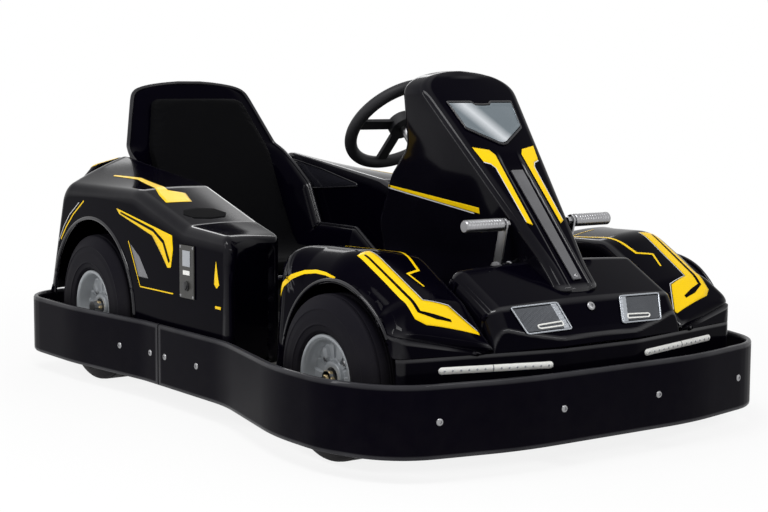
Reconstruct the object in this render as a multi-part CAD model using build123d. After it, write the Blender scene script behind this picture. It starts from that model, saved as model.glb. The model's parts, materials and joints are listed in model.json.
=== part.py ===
from build123d import *
import os
from math import cos, radians, sin

os.makedirs("parts", exist_ok=True)

# Overall size in mm; the front faces -Y, +X is the driver's left and the ground is z = 0.
HALF_LENGTH = 857.5
HALF_WIDTH = 556
FRONT = -HALF_LENGTH
REAR = HALF_LENGTH

# Protective band.
BAND_LOW = 45
BAND_HIGH = 187
BAND_WALL = 12
SEAM_HALF = 1
WAIST_X = HALF_WIDTH - 72
REAR_BAND_X = HALF_WIDTH - 38

# Axles, wheels and tyres.
FRONT_AXLE_Y = FRONT + 305
FRONT_TYRE_R = 165
FRONT_TYRE_HALF = 50
FRONT_WHEEL_X = HALF_WIDTH - 116
REAR_AXLE_Y = REAR - 344
REAR_TYRE_R = 180
REAR_TYRE_HALF = 54
REAR_WHEEL_X = HALF_WIDTH - 141
AXLE_R = 15
STUB_R = 10
RUNNING_FIT = 0.05

# Frame, floor and body skins.
RAIL_X = 130
TUBE = 40
TUBE_WALL = 3
FRAME_LOW = 62
FRAME_TOP = FRAME_LOW + TUBE
FLOOR_TOP = FRAME_TOP + 4
SKIN = 5
MOTOR_R = REAR_TYRE_R - FLOOR_TOP - 6
MOTOR_HALF = RAIL_X - 25

# Steering linkage.
COLUMN_TILT = 45
COLUMN_R = 11
STEER_Y = FRONT + 707.5
STEER_Z = 645
PITMAN = 43.8
PITMAN_HALF = 5
EYE_GAP = 0.3
EYE_R = 9
EYE_X = 14
EYE_Z = FRONT_TYRE_R - 11
KINGPIN_X = FRONT_WHEEL_X - 70
KINGPIN_R = 8
ARM_LENGTH = 85
ARM_LOW = EYE_Z - 18
ARM_HIGH = EYE_Z - 7.3
YOKE_LOW = FRONT_TYRE_R - 48
YOKE_HIGH = FRONT_TYRE_R + 48
YOKE_HALF = 22

# Body stations.
FENDER_IN_X = 250
FENDER_OUT_X = HALF_WIDTH - 84
FENDER_TOP = FRONT_TYRE_R + 242
FRONT_ARCH_R = FRONT_TYRE_R + 23
FRONT_ARCH_X = FENDER_OUT_X - 77
NOSE_Y = FRONT + 35.5
HOOD_REAR_Y = FRONT + 217.5
FASCIA_LOW = 130
FASCIA_HIGH = 228
SEAT_HALF = 239
SEAT_WALL = 6
SEAT_Z = REAR_TYRE_R + MOTOR_R + 8 + SEAT_WALL
POD_IN_X = SEAT_HALF + 16
POD_OUT_X = WAIST_X - BAND_WALL - 12
POD_FRONT_Y = FRONT_AXLE_Y + 424.5
POD_REAR_Y = REAR - 51.5
POD_TOP = REAR_TYRE_R + 306
REAR_ARCH_R = REAR_TYRE_R + 38
FAIRING_HALF = 58
FAR = 2 * HALF_LENGTH


def block(x0, x1, y0, y1, z0, z1):
    """A box given by its six faces."""
    return Pos((x0 + x1) / 2, (y0 + y1) / 2, (z0 + z1) / 2) * Box(x1 - x0, y1 - y0, z1 - z0)


def outline(rows):
    """A closed face from rows of first, second, corner radius."""
    corners = [(a, b) for a, b, _ in rows]
    return make_face(FilletPolyline(*corners, radius=[r for _, _, r in rows], close=True))


def both_sides(rows):
    """The rows of a half outline followed by their mirror image."""
    return rows + [(-x, y, r) for x, y, r in reversed(rows)]


def across(face, x0, x1):
    """A side-view face carried across the kart from x0 to x1."""
    return extrude(Plane.YZ.offset(x0) * face, x1 - x0, dir=(1, 0, 0))


def between(rows, x_in, x_out, skin=0):
    """A panel lofted from an inner to an outer side profile.

    Rows hold y and z at the inner face, y and z at the outer face, corner radius.
    """
    inner = outline([(a, b, r) for a, b, _, _, r in rows])
    outer = outline([(c, d, r) for _, _, c, d, r in rows])
    if skin:
        inner = offset(inner, -skin)
        outer = offset(outer, -skin)
    faces = [Plane.YZ.offset(x_in + skin) * inner, Plane.YZ.offset(x_out - skin) * outer]
    return loft([face.face() for face in faces], ruled=True)


def along(face, y0, y1):
    """A front-view face of x, z carried along the kart from y0 to y1."""
    return extrude(Plane((0, y0, 0), x_dir=(1, 0, 0), z_dir=(0, -1, 0)) * face, y1 - y0, dir=(0, 1, 0))


def rise(face, z0, z1):
    """A plan-view face carried up from z0 to z1."""
    return extrude(Pos(0, 0, z0) * face, z1 - z0, dir=(0, 0, 1))


def disc(x0, x1, y, z, r):
    """A cylinder lying across the kart."""
    return Pos((x0 + x1) / 2, y, z) * Rot(0, 90, 0) * Cylinder(r, x1 - x0)


def post(x, y, z0, z1, r):
    """An upright cylinder."""
    return Pos(x, y, (z0 + z1) / 2) * Cylinder(r, z1 - z0)


def rod(a, b, r):
    """A round bar between two points."""
    a, b = Vector(a), Vector(b)
    way = b - a
    return Plane(a + way * 0.5, z_dir=way) * Cylinder(r, way.length)


def spin(rows):
    """A turned piece from rows of distance along X, radius."""
    return revolve(make_face(Polyline(*rows, close=True)), Axis.X)


def save(name, shape):
    """Write one named piece; a left piece is also written as its right twin."""
    pieces = [(name, shape)]
    if "_left" in name:
        pieces.append((name.replace("_left", "_right"), mirror(shape, Plane.YZ)))
    for label, piece in pieces:
        export_step(piece.solid(), f"parts/{label}.step")


# Protective band: one closed plan line, split into a front and a rear half at the waist.
BAND_ROWS = [
    (230, FRONT, 700),
    (HALF_WIDTH - 56, FRONT + 57.5, 160),
    (HALF_WIDTH, FRONT + 217.5, 250),
    (HALF_WIDTH, FRONT_AXLE_Y + 72.5, 600),
    (WAIST_X, FRONT_AXLE_Y + 382.5, 450),
    (WAIST_X, REAR_AXLE_Y - 313.5, 450),
    (REAR_BAND_X, REAR_AXLE_Y + 6.5, 900),
    (REAR_BAND_X, REAR, 150),
]
SEAM_Y = REAR_AXLE_Y - 383.5
band_face = outline(both_sides(BAND_ROWS))
band = rise(band_face - offset(band_face, -BAND_WALL), BAND_LOW, BAND_HIGH)
save("bumper_front", band & block(-FAR, FAR, -FAR, SEAM_Y - SEAM_HALF, 0, FAR))
save("bumper_rear", band & block(-FAR, FAR, SEAM_Y + SEAM_HALF, FAR, 0, FAR))

# Ladder frame of box tubes: rails from band to band, cross tubes and an outrigger to each waist.
RAIL_END_Y = HALF_LENGTH - BAND_WALL
RAIL_IN_X = RAIL_X - TUBE / 2
RAIL_OUT_X = RAIL_X + TUBE / 2


def box_tube(x0, x1, y0, y1, way):
    """A box tube of the frame's height, open at both ends along way."""
    trim_x, trim_y = (0, TUBE_WALL) if way == "x" else (TUBE_WALL, 0)
    bore = block(x0 + trim_x, x1 - trim_x, y0 + trim_y, y1 - trim_y, FRAME_LOW + TUBE_WALL, FRAME_TOP - TUBE_WALL)
    return block(x0, x1, y0, y1, FRAME_LOW, FRAME_TOP) - bore


save("rail_left", box_tube(RAIL_IN_X, RAIL_OUT_X, -RAIL_END_Y, RAIL_END_Y, "y"))
save("outrigger_left", box_tube(RAIL_OUT_X, WAIST_X - BAND_WALL, -TUBE / 2, TUBE / 2, "x"))
CROSS_TUBES = [("cross_front", HOOD_REAR_Y), ("cross_middle", 0), ("cross_rear", REAR - 197.5)]
for name, y in CROSS_TUBES:
    save(name, box_tube(-RAIL_IN_X, RAIL_IN_X, y - TUBE / 2, y + TUBE / 2, "x"))

# Floor pan: a long narrow tray with a wide middle between the wheels.
PAN_HALF = FENDER_IN_X - 5
pan = block(-PAN_HALF, PAN_HALF, HOOD_REAR_Y, REAR - 112.5, FRAME_TOP, FLOOR_TOP)
pan += block(-POD_OUT_X, POD_OUT_X, FRONT_AXLE_Y + 222.5, REAR_AXLE_Y - 195.5, FRAME_TOP, FLOOR_TOP)
save("floor_pan", pan)

# Raised heel platforms over the tie rods.
HEEL_TOP = EYE_Z + 46
HEEL_END_Y = FRONT_AXLE_Y + ARM_LENGTH + 49.5
HEEL_X = FAIRING_HALF + 4
platform = block(HEEL_X, PAN_HALF, HOOD_REAR_Y + 2, HEEL_END_Y, HEEL_TOP - 4, HEEL_TOP)
platform += block(HEEL_X, PAN_HALF, HEEL_END_Y - 4, HEEL_END_Y, FLOOR_TOP, HEEL_TOP)
save("heel_platform_left", platform)

# Front beam with a yoke and kingpin at each end.
YOKE_PLATE = 8
YOKE_X = KINGPIN_X - 40
beam_y = (FRONT_AXLE_Y - YOKE_HALF, FRONT_AXLE_Y + YOKE_HALF)
beam = block(-YOKE_X - YOKE_PLATE, YOKE_X + YOKE_PLATE, *beam_y, FLOOR_TOP, FLOOR_TOP + 3)
end = block(YOKE_X, YOKE_X + YOKE_PLATE, *beam_y, FLOOR_TOP, YOKE_HIGH + YOKE_PLATE)
for low in (YOKE_LOW - YOKE_PLATE, YOKE_HIGH):
    end += block(YOKE_X, KINGPIN_X, *beam_y, low, low + YOKE_PLATE)
    end += post(KINGPIN_X, FRONT_AXLE_Y, low, low + YOKE_PLATE, YOKE_HALF)
end += post(KINGPIN_X, FRONT_AXLE_Y, YOKE_LOW - 12, YOKE_HIGH + 14, KINGPIN_R)
save("front_beam", beam + end + mirror(end, Plane.YZ))

# Steering knuckle: barrel, stub axle, rearward arm and its stud.
STUD_R = 5
ARM_HALF = 12
HUB_END_X = FRONT_WHEEL_X + 28
stud = Vector(KINGPIN_X, FRONT_AXLE_Y + ARM_LENGTH, EYE_Z)
knuckle = post(KINGPIN_X, FRONT_AXLE_Y, YOKE_LOW + EYE_GAP, YOKE_HIGH - EYE_GAP, 18)
knuckle += disc(KINGPIN_X + 12, HUB_END_X + 10, FRONT_AXLE_Y, FRONT_TYRE_R, STUB_R)
knuckle += disc(HUB_END_X + 1, HUB_END_X + 10, FRONT_AXLE_Y, FRONT_TYRE_R, 15)
knuckle += block(KINGPIN_X - ARM_HALF, KINGPIN_X + ARM_HALF, FRONT_AXLE_Y, stud.Y, ARM_LOW, ARM_HIGH)
knuckle += post(stud.X, stud.Y, ARM_LOW, ARM_HIGH, ARM_HALF)
knuckle += post(stud.X, stud.Y, ARM_LOW, EYE_Z + 12, STUD_R)
knuckle -= post(KINGPIN_X, FRONT_AXLE_Y, 0, FAR, KINGPIN_R + RUNNING_FIT)
save("knuckle_left", knuckle)

# Steering column with its drop arm; the local +y of the arm's plane points at the arm's tip.
axis = Vector(0, cos(radians(COLUMN_TILT)), sin(radians(COLUMN_TILT)))
EYE_DROP = PITMAN_HALF + EYE_GAP + EYE_R
FOOT_Z = EYE_Z + PITMAN * axis.Y + EYE_DROP * axis.Z
wheel_centre = Vector(0, STEER_Y, STEER_Z)
foot = wheel_centre - axis * ((STEER_Z - FOOT_Z) / axis.Z)
arm_plane = Plane(foot, x_dir=(1, 0, 0), z_dir=axis)
arm_face = Circle(18) + Pos(0, PITMAN / 2) * Rectangle(28, PITMAN)
arm_face += Pos(0, PITMAN) * Rectangle(2 * EYE_X + 14, 18)
column = rod(foot, wheel_centre - axis * 14, COLUMN_R)
column += arm_plane * Pos(0, 0, -PITMAN_HALF) * extrude(arm_face, 2 * PITMAN_HALF, dir=(0, 0, 1))
save("steering_column", column)

# Steering wheel: rim, three spokes and a hub.
WHEEL_R = 128
GRIP_R = 14
wheel_plane = Plane(wheel_centre, x_dir=(1, 0, 0), z_dir=axis)
wheel = Torus(WHEEL_R, GRIP_R) + Pos(0, 0, -2) * Cylinder(34, 24)
for turn in (0, 90, 180):
    wheel += Rot(0, 0, turn) * Pos(WHEEL_R / 2 + 8, 0, 0) * Box(WHEEL_R - 12, 26, 8)
save("steering_wheel", wheel_plane * wheel)

# Column bearing on its post.
bearing_at = foot + axis * 150
support = rod(bearing_at - axis * 20, bearing_at + axis * 20, 2 * COLUMN_R)
support += block(-18, 18, bearing_at.Y + 4, bearing_at.Y + 44, FLOOR_TOP, bearing_at.Z - 8)
support -= rod(bearing_at - axis * 60, bearing_at + axis * 60, COLUMN_R + RUNNING_FIT)
save("column_support", support)

# Tie rod from the drop arm to the knuckle's stud.
TIE_R = 6
eye_in = arm_plane.from_local_coords(Vector(EYE_X, PITMAN, -EYE_DROP))
tie = rod(eye_in, stud, TIE_R) + Plane(eye_in, z_dir=stud - eye_in) * Sphere(EYE_R)
tie += post(stud.X, stud.Y, EYE_Z - 7, EYE_Z + 7, 11)
tie -= post(stud.X, stud.Y, EYE_Z - 20, EYE_Z + 20, STUD_R + RUNNING_FIT)
save("tie_rod_left", tie)

# Wheels: rows of node ending, centre x, axle y, tyre radius, rim flange radius, bore radius, half width.
WHEELS = [
    ("front_left", FRONT_WHEEL_X, FRONT_AXLE_Y, FRONT_TYRE_R, 87.5, STUB_R + RUNNING_FIT, FRONT_TYRE_HALF),
    ("rear_left", REAR_WHEEL_X, REAR_AXLE_Y, REAR_TYRE_R, 92.5, AXLE_R, REAR_TYRE_HALF),
]
for ending, x, y, tyre_r, flange, bore, half in WHEELS:
    well = flange - 9.5
    inner = well - 6
    bead = half - 12
    lip = half - 8
    rim = spin([
        (-lip, bore), (28, bore), (28, 24), (22, 24), (22, inner), (lip, inner), (lip, flange), (bead, flange),
        (bead, well), (-bead, well), (-bead, flange), (-lip, flange), (-lip, inner), (16, inner), (16, 24), (-lip, 24),
    ])
    save(f"rim_{ending}", Pos(x, y, tyre_r) * rim)
    seat = bead - EYE_GAP
    crown = [
        (seat - 8, well), (seat, well), (seat, flange + 1), (half - 3, flange + 9),
        (half, tyre_r - 45), (half - 2, tyre_r - 25), (half - 16, tyre_r),
    ]
    hollow = [(half - 24, tyre_r - 9), (half - 9, tyre_r - 28), (half - 8, tyre_r - 46), (half - 12, flange + 10)]
    section = crown + [(-a, r) for a, r in reversed(crown)]
    section += [(-a, r) for a, r in reversed(hollow)] + hollow
    save(f"tyre_{ending}", Pos(x, y, tyre_r) * spin(section))

# Live rear axle, its hangers on the rails, the drive motor round it and a battery in each pod.
AXLE_END_X = REAR_WHEEL_X + 47
save("rear_axle", disc(-AXLE_END_X, AXLE_END_X, REAR_AXLE_Y, REAR_TYRE_R, AXLE_R))
axle_bore = disc(-FAR, FAR, REAR_AXLE_Y, REAR_TYRE_R, AXLE_R + RUNNING_FIT)
hanger = block(RAIL_X - 7, RAIL_X + 7, REAR_AXLE_Y - 34, REAR_AXLE_Y + 34, FLOOR_TOP, REAR_TYRE_R + 34)
save("axle_hanger_left", hanger - axle_bore)
motor = disc(-MOTOR_HALF, MOTOR_HALF, REAR_AXLE_Y, REAR_TYRE_R, MOTOR_R)
motor += block(5 - MOTOR_HALF, MOTOR_HALF - 5, REAR_AXLE_Y - 50, REAR_AXLE_Y + 50, FLOOR_TOP, REAR_TYRE_R)
save("drive_motor", motor - axle_bore)
save("battery_left", block(POD_IN_X + 35, POD_OUT_X - 20, POD_FRONT_Y + 98, POD_FRONT_Y + 378, FLOOR_TOP, 330))

# Nose in plan: a bowed front that turns back along each wheel.
NOSE_FLAT_X = 100
NOSE_CORNER = Vector(FENDER_OUT_X - 22, FRONT + 107.5, 0)
NOSE_ROWS = [
    (NOSE_FLAT_X, NOSE_Y, 150),
    (NOSE_CORNER.X, NOSE_CORNER.Y, 20),
    (FENDER_OUT_X, HOOD_REAR_Y, 150),
    (FENDER_OUT_X, FRONT_AXLE_Y + 302.5, 0),
]
nose_face = outline(both_sides(NOSE_ROWS))
nose_inner = offset(nose_face, -SKIN)
nose_solid = rise(nose_face, 0, FAR)
nose_hollow = rise(nose_inner, 0, FAR)

# Front fender: a lofted skin, opened for the wheel, the linkage and the fascia.
FENDER_ROWS = [
    (FRONT_AXLE_Y + 252.5, FLOOR_TOP, FRONT_AXLE_Y + 252.5, FLOOR_TOP, 0),
    (FRONT_AXLE_Y + 222.5, FENDER_TOP - 17, FRONT_AXLE_Y + 214.5, FENDER_TOP - 3, 70),
    (FRONT_AXLE_Y - 22.5, FENDER_TOP - 15, FRONT_AXLE_Y - 37.5, FENDER_TOP + 1, 110),
    (FRONT + 57.5, FASCIA_HIGH - 3, FRONT + 57.5, FASCIA_HIGH - 16, 0),
    (FRONT + 57.5, FLOOR_TOP, FRONT + 57.5, FLOOR_TOP, 0),
]
fender = between(FENDER_ROWS, FENDER_IN_X, FENDER_OUT_X) & nose_solid
fender -= between(FENDER_ROWS, FENDER_IN_X, FENDER_OUT_X, SKIN) & nose_hollow
fender -= block(FENDER_IN_X + SKIN, FENDER_OUT_X - SKIN, -FAR, FRONT_AXLE_Y + 244.5, 0, FLOOR_TOP + 24)
fender -= disc(FRONT_ARCH_X, FAR, FRONT_AXLE_Y, FRONT_TYRE_R, FRONT_ARCH_R)
fender -= block(FRONT_ARCH_X, FAR, -FAR, FRONT_AXLE_Y + FRONT_ARCH_R, 0, FRONT_TYRE_R)
fender -= block(0, FAR, -FAR, HOOD_REAR_Y, 0, FASCIA_HIGH)
fender -= block(0, FENDER_IN_X + 50, -FAR, FRONT_AXLE_Y + 152.5, 0, YOKE_HIGH + 27)
save("front_fender_left", fender)

# Fascia: the upright wall behind the band, carried round both corners to the wheel arches.
fascia = rise(nose_face - nose_inner, FASCIA_LOW, FASCIA_HIGH)
save("front_fascia", fascia & block(-FAR, FAR, -FAR, FRONT_AXLE_Y - FRONT_ARCH_R - 1, 0, FAR))

# Hood between the fenders, open to the footwells and cut round the steering fairing.
LAMP_TOP = Vector(0, FRONT + 85.5, 306)
LAMP_LOW = Vector(0, FRONT + 57.5, 256)
HOOD_REAR_Z = 378
HOOD_ROWS = [
    (HOOD_REAR_Y, HOOD_REAR_Z, 0),
    (LAMP_TOP.Y, LAMP_TOP.Z, 6),
    (LAMP_LOW.Y, LAMP_LOW.Z, 20),
    (NOSE_Y - 4, FASCIA_HIGH, 0),
    (HOOD_REAR_Y, FASCIA_HIGH, 0),
]
hood_in = FENDER_IN_X - SKIN
hood_face = outline(HOOD_ROWS)
hood = across(hood_face, -FENDER_IN_X, FENDER_IN_X) & nose_solid
hood -= across(offset(hood_face, -SKIN), -hood_in, hood_in) & nose_hollow
hood -= block(-hood_in, hood_in, LAMP_TOP.Y - 8, FAR, 0, FASCIA_HIGH + SKIN)
hood -= block(-hood_in, hood_in, HOOD_REAR_Y - SKIN, FAR, 0, HOOD_REAR_Z - 8)
hood -= block(-FAIRING_HALF - EYE_GAP, FAIRING_HALF + EYE_GAP, HOOD_REAR_Y - 100, FAR, 0, FAR)
save("hood", hood)

# Headlamps on the hood's front face; local x runs across, y up the face.
slope = (LAMP_TOP - LAMP_LOW).normalized()
lamp_plane = Plane(LAMP_LOW, x_dir=(1, 0, 0), z_dir=Vector(1, 0, 0).cross(slope))
lamp_face = make_face(Polyline((70, 6), (180, 6), (201, 52), (86, 52), close=True))
save("headlamp_left", lamp_plane * extrude(lamp_face, 4, dir=(0, 0, 1)))

# Light strips on the fascia's straight run.
STRIP_Z = 201
nose_start = Vector(NOSE_FLAT_X, NOSE_Y, 0)
run = (NOSE_CORNER - nose_start).normalized()
strip_mid = nose_start + run * 149 + Vector(0, 0, STRIP_Z)
strip_plane = Plane(strip_mid, x_dir=run, z_dir=run.cross(Vector(0, 0, 1)))
save("light_strip_left", strip_plane * extrude(SlotOverall(248, 14), 5, dir=(0, 0, 1)))

# Steering fairing: a side profile cut to a front outline, hollow, open below and for the column.
PANEL_TOP = Vector(0, FRONT + 505.5, 765)
PANEL_FOOT = Vector(0, FRONT + 142.5, 374)
FAIRING_REAR_Y = FRONT + 712.5
FAIRING_ROWS = [
    (PANEL_TOP.Y, PANEL_TOP.Z, 0),
    (PANEL_FOOT.Y, PANEL_FOOT.Z, 0),
    (HOOD_REAR_Y, 300, 0),
    (HOOD_REAR_Y, FLOOR_TOP, 0),
    (FAIRING_REAR_Y, FLOOR_TOP, 0),
    (FAIRING_REAR_Y, 425, 40),
    (FRONT + 635.5, 536, 30),
    (FRONT + 557.5, 600, 60),
    (FRONT + 535.5, 752, 0),
]
FAIRING_FRONT = [(FAIRING_HALF, 0, 0), (FAIRING_HALF, 378, 0), (130, 735, 20), (88, 768, 0)]
fairing_face = outline(FAIRING_ROWS)
fairing_front = outline(both_sides(FAIRING_FRONT))
fairing = across(fairing_face, -FAR, FAR) & along(fairing_front, -FAR, FAR)
mid_z = (PANEL_TOP.Z + PANEL_FOOT.Z) / 2 - 100
panel_edges = [e for e in fairing.edges() if e.length > 300 and e.center().Z > mid_z and e.center().Y < FRONT + 400]
fairing = fillet(panel_edges, 16)
fairing -= across(offset(fairing_face, -SKIN), -FAR, FAR) & along(offset(fairing_front, -SKIN), -FAR, FAR)
fairing_in = FAIRING_HALF - SKIN
fairing -= block(-fairing_in, fairing_in, HOOD_REAR_Y + SKIN, FAIRING_REAR_Y - SKIN, 0, FLOOR_TOP + 14)
fairing -= rod(foot + axis * 200, wheel_centre - axis * 20, 34)
fairing -= block(-FAR, FAR, HOOD_REAR_Y + SKIN, FRONT_AXLE_Y + 112.5, 0, FOOT_Z + 25)
save("steering_fairing", fairing)

# Plate and strip on the fairing's front panel; local y runs up the panel from its top edge.
panel_up = (PANEL_TOP - PANEL_FOOT).normalized()
panel_plane = Plane(PANEL_TOP, x_dir=(1, 0, 0), z_dir=Vector(1, 0, 0).cross(panel_up))
SHIELD = [(86, -100, 0), (78, -160, 10), (0, -218, 0)]
shield_face = outline(SHIELD + [(-x, s, r) for x, s, r in reversed(SHIELD[:2])])
save("number_plate", panel_plane * extrude(shield_face, 4, dir=(0, 0, 1)))
save("fairing_strip", panel_plane * Pos(0, -412) * extrude(Rectangle(20, 230), 5, dir=(0, 0, 1)))

# Side pod and rear fender as one lofted moulding, hollow, opened for the rear wheel and axle.
POD_ROWS = [
    (POD_FRONT_Y + 78, FLOOR_TOP, POD_FRONT_Y - 10, FLOOR_TOP, 0),
    (POD_FRONT_Y + 72, POD_TOP - 102, POD_FRONT_Y - 18, POD_TOP - 78, 40),
    (POD_FRONT_Y + 188, POD_TOP - 70, POD_FRONT_Y + 173, POD_TOP - 70, 60),
    (REAR_AXLE_Y - 223.5, POD_TOP + 2, REAR_AXLE_Y - 229.5, POD_TOP - 2, 120),
    (REAR - 82.5, POD_TOP + 66, REAR - 177.5, POD_TOP - 12, 60),
    (POD_REAR_Y, 200, REAR - 87.5, 200, 30),
    (POD_REAR_Y, FLOOR_TOP, REAR - 87.5, FLOOR_TOP, 0),
]
POD_WELL_X = POD_OUT_X - 30
pod = between(POD_ROWS, POD_IN_X, POD_OUT_X)
pod -= between(POD_ROWS, POD_IN_X, POD_OUT_X, SKIN)
pod -= block(POD_IN_X + SKIN, POD_OUT_X - SKIN, POD_FRONT_Y + 94, REAR - 97.5, 0, FLOOR_TOP + 24)
pod -= disc(POD_WELL_X, FAR, REAR_AXLE_Y, REAR_TYRE_R, REAR_ARCH_R)
pod -= block(POD_WELL_X, FAR, REAR_AXLE_Y - REAR_ARCH_R, REAR_AXLE_Y + REAR_ARCH_R, 0, REAR_TYRE_R)
pod -= block(0, POD_IN_X + 45, REAR_AXLE_Y - 60, REAR_AXLE_Y + 60, 0, REAR_TYRE_R + 70)
pod -= block(0, FAR, REAR_AXLE_Y - 193.5, FAR, 0, 190)
save("side_pod_left", pod)
panel_y = POD_FRONT_Y + 124
save("control_panel", block(-POD_OUT_X - 4, -POD_OUT_X, panel_y, panel_y + 66, 256, 376))

# Tail cowl behind the seat and the rear fenders, with a deck between the pods.
TAIL_REAR_Y = REAR - 15.5
TAIL_HALF = POD_OUT_X - 115
DECK_Z = POD_TOP + 28
TAIL_FORM = [(TAIL_HALF, 196, 0), (TAIL_HALF, DECK_Z - 46, 20), (TAIL_HALF - 45, DECK_Z + 2, 30), (225, DECK_Z + 20, 30)]
tail_face = outline(both_sides(TAIL_FORM))
tail = along(tail_face, POD_REAR_Y, TAIL_REAR_Y)
tail -= along(offset(tail_face, -SKIN), POD_REAR_Y - 1, TAIL_REAR_Y - SKIN)
tail += block(-POD_IN_X, POD_IN_X, REAR - 93.5, TAIL_REAR_Y - SKIN, DECK_Z, DECK_Z + SKIN)
save("tail_cover", tail)

# Seat: a bent sheet with side bolsters, cut to the back's outline, on two stands, and its pad.
SEAT_FRONT_Y = REAR - 661.5
SEAT_BEND_Y = REAR - 257.5
SEAT_TOP = SEAT_Z + 473
SEAT_ROWS = [
    (SEAT_FRONT_Y, SEAT_Z + 638, 0),
    (SEAT_FRONT_Y, SEAT_Z, 0),
    (SEAT_BEND_Y, SEAT_Z, 80),
    (SEAT_BEND_Y + 342, SEAT_Z + 658, 0),
]
BACK_FRONT = [(SEAT_HALF, 0, 0), (SEAT_HALF, SEAT_TOP - 179, 60), (SEAT_HALF - 67, SEAT_TOP, 40)]
seat_face = outline(SEAT_ROWS)
back_form = along(outline(both_sides(BACK_FRONT)), -FAR, FAR)
sheet = across(offset(seat_face, SEAT_WALL) - seat_face, -SEAT_HALF, SEAT_HALF)
sheet -= block(-FAR, FAR, -FAR, SEAT_FRONT_Y + 4, 0, FAR)
bolster = across(seat_face - offset(seat_face, -95), SEAT_HALF - SEAT_WALL, SEAT_HALF)
bolster -= block(-FAR, FAR, -FAR, SEAT_FRONT_Y + 96, 0, FAR)
below_pods = [(SEAT_FRONT_Y, 0, 0), (REAR, 0, 0), (REAR, POD_TOP + 70, 0), (SEAT_FRONT_Y, POD_TOP - 26, 0)]
bolster &= across(outline(below_pods), 0, FAR)
save("seat_shell", (sheet + bolster + mirror(bolster, Plane.YZ)) & back_form)
STAND_X = PAN_HALF - 49
save("seat_stand_left", block(STAND_X, STAND_X + 6, SEAT_FRONT_Y + 19, REAR_AXLE_Y - 83.5, FLOOR_TOP, SEAT_Z - SEAT_WALL))
PAD = 36
PAD_HALF = SEAT_HALF - 49
PAD_FORM = [(PAD_HALF, 0, 0), (PAD_HALF, SEAT_TOP - 175, 60), (PAD_HALF - 50, SEAT_TOP - 35, 40)]
pad = across(seat_face - offset(seat_face, -PAD), -PAD_HALF, PAD_HALF)
pad -= block(-FAR, FAR, -FAR, SEAT_FRONT_Y + 44, 0, FAR)
save("seat_pad", pad & along(outline(both_sides(PAD_FORM)), -FAR, FAR))

# Foot pegs on fixed arms beside the fairing.
PEG_Y = FRONT + 232.5
PEG_Z = 454
PIVOT_Y = PEG_Y + 20
PIVOT_Z = 360
ARM_X = FAIRING_HALF + 34
pedal = disc(ARM_X + 6, ARM_X + 104, PEG_Y, PEG_Z, 13.5)
pedal += rod((ARM_X, PIVOT_Y, PIVOT_Z), (ARM_X, PEG_Y, PEG_Z), 7) + disc(ARM_X - 6, ARM_X + 10, PEG_Y, PEG_Z, 11)
pedal += disc(FAIRING_HALF, ARM_X + 8, PIVOT_Y, PIVOT_Z, 13)
save("pedal_left", pedal)
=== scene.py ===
# %% [markdown]
# A drift kart: a low electric rental kart with a rubber band all the way round, gloss black mouldings
# with yellow stripes, a bucket seat and a tall steering fairing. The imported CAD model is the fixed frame,
# and every piece below is laid over it in the same coordinates. Lengths are written in millimetres, as on
# a drawing, and turned into Blender's metres when a mesh is made.

# %% Load the frame
import json
import math

import bmesh
import bpy
import numpy as np
from mathutils import Matrix, Vector


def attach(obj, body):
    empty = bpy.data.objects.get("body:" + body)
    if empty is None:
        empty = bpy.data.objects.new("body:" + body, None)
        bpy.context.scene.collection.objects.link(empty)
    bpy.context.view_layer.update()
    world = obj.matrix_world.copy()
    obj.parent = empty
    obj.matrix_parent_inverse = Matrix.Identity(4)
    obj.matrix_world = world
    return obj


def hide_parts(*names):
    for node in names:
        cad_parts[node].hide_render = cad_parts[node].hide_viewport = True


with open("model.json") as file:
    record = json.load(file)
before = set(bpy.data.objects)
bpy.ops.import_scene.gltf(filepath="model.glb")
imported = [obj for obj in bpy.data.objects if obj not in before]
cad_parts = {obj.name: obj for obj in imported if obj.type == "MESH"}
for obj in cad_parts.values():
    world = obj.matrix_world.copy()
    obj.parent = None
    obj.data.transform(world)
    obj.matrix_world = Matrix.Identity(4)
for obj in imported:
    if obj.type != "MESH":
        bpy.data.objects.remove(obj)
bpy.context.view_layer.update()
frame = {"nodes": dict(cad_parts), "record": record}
scene = bpy.context.scene
scene.view_settings.view_transform = "Standard"
MM = 0.001

# %% [markdown]
# The camera stands in front of the kart's right corner, a little above it, as a catalogue photographer
# would. Its place was found from the wheels and the band, so it is written as a position, a heading, a
# tilt and a small roll. A basis built from those three angles leaves no doubt about the order of turns.

# %% Camera
CAMERA_AT = (-2.22835, -3.15880, 0.74350)
HEADING, TILT, ROLL = np.radians([-35.9211, 6.13967, 0.31651])
FOCAL_PIXELS, IMAGE_WIDTH, SENSOR = 1629.614, 768, 36


def camera_basis():
    """Right, up and back: back comes from heading and tilt, right and up are turned by the roll."""
    back = np.array([
        math.sin(HEADING) * math.cos(TILT), -math.cos(HEADING) * math.cos(TILT), math.sin(TILT)])
    right = np.cross(-back, [0, 0, 1])
    right /= np.linalg.norm(right)
    up = np.cross(back, right)
    c, s = math.cos(ROLL), math.sin(ROLL)
    return np.stack([c * right + s * up, c * up - s * right, back], axis=1)


lens = bpy.data.cameras.new("camera")
lens.sensor_width = SENSOR
lens.lens = SENSOR * FOCAL_PIXELS / IMAGE_WIDTH
camera = bpy.data.objects.new("camera", lens)
camera.matrix_world = Matrix.Translation(CAMERA_AT) @ Matrix(camera_basis().tolist()).to_4x4()
scene.collection.objects.link(camera)
scene.camera = camera
print("lens", round(lens.lens, 2), "mm")

# %% [markdown]
# Studio light: a white room. Rays from the camera, and mirror and glass rays, see pure white; the light
# that falls on the kart is weaker, so that black stays black. Long soft boxes above and beside the kart
# draw the crisp white lines along the edges of the gloss mouldings.

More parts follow.
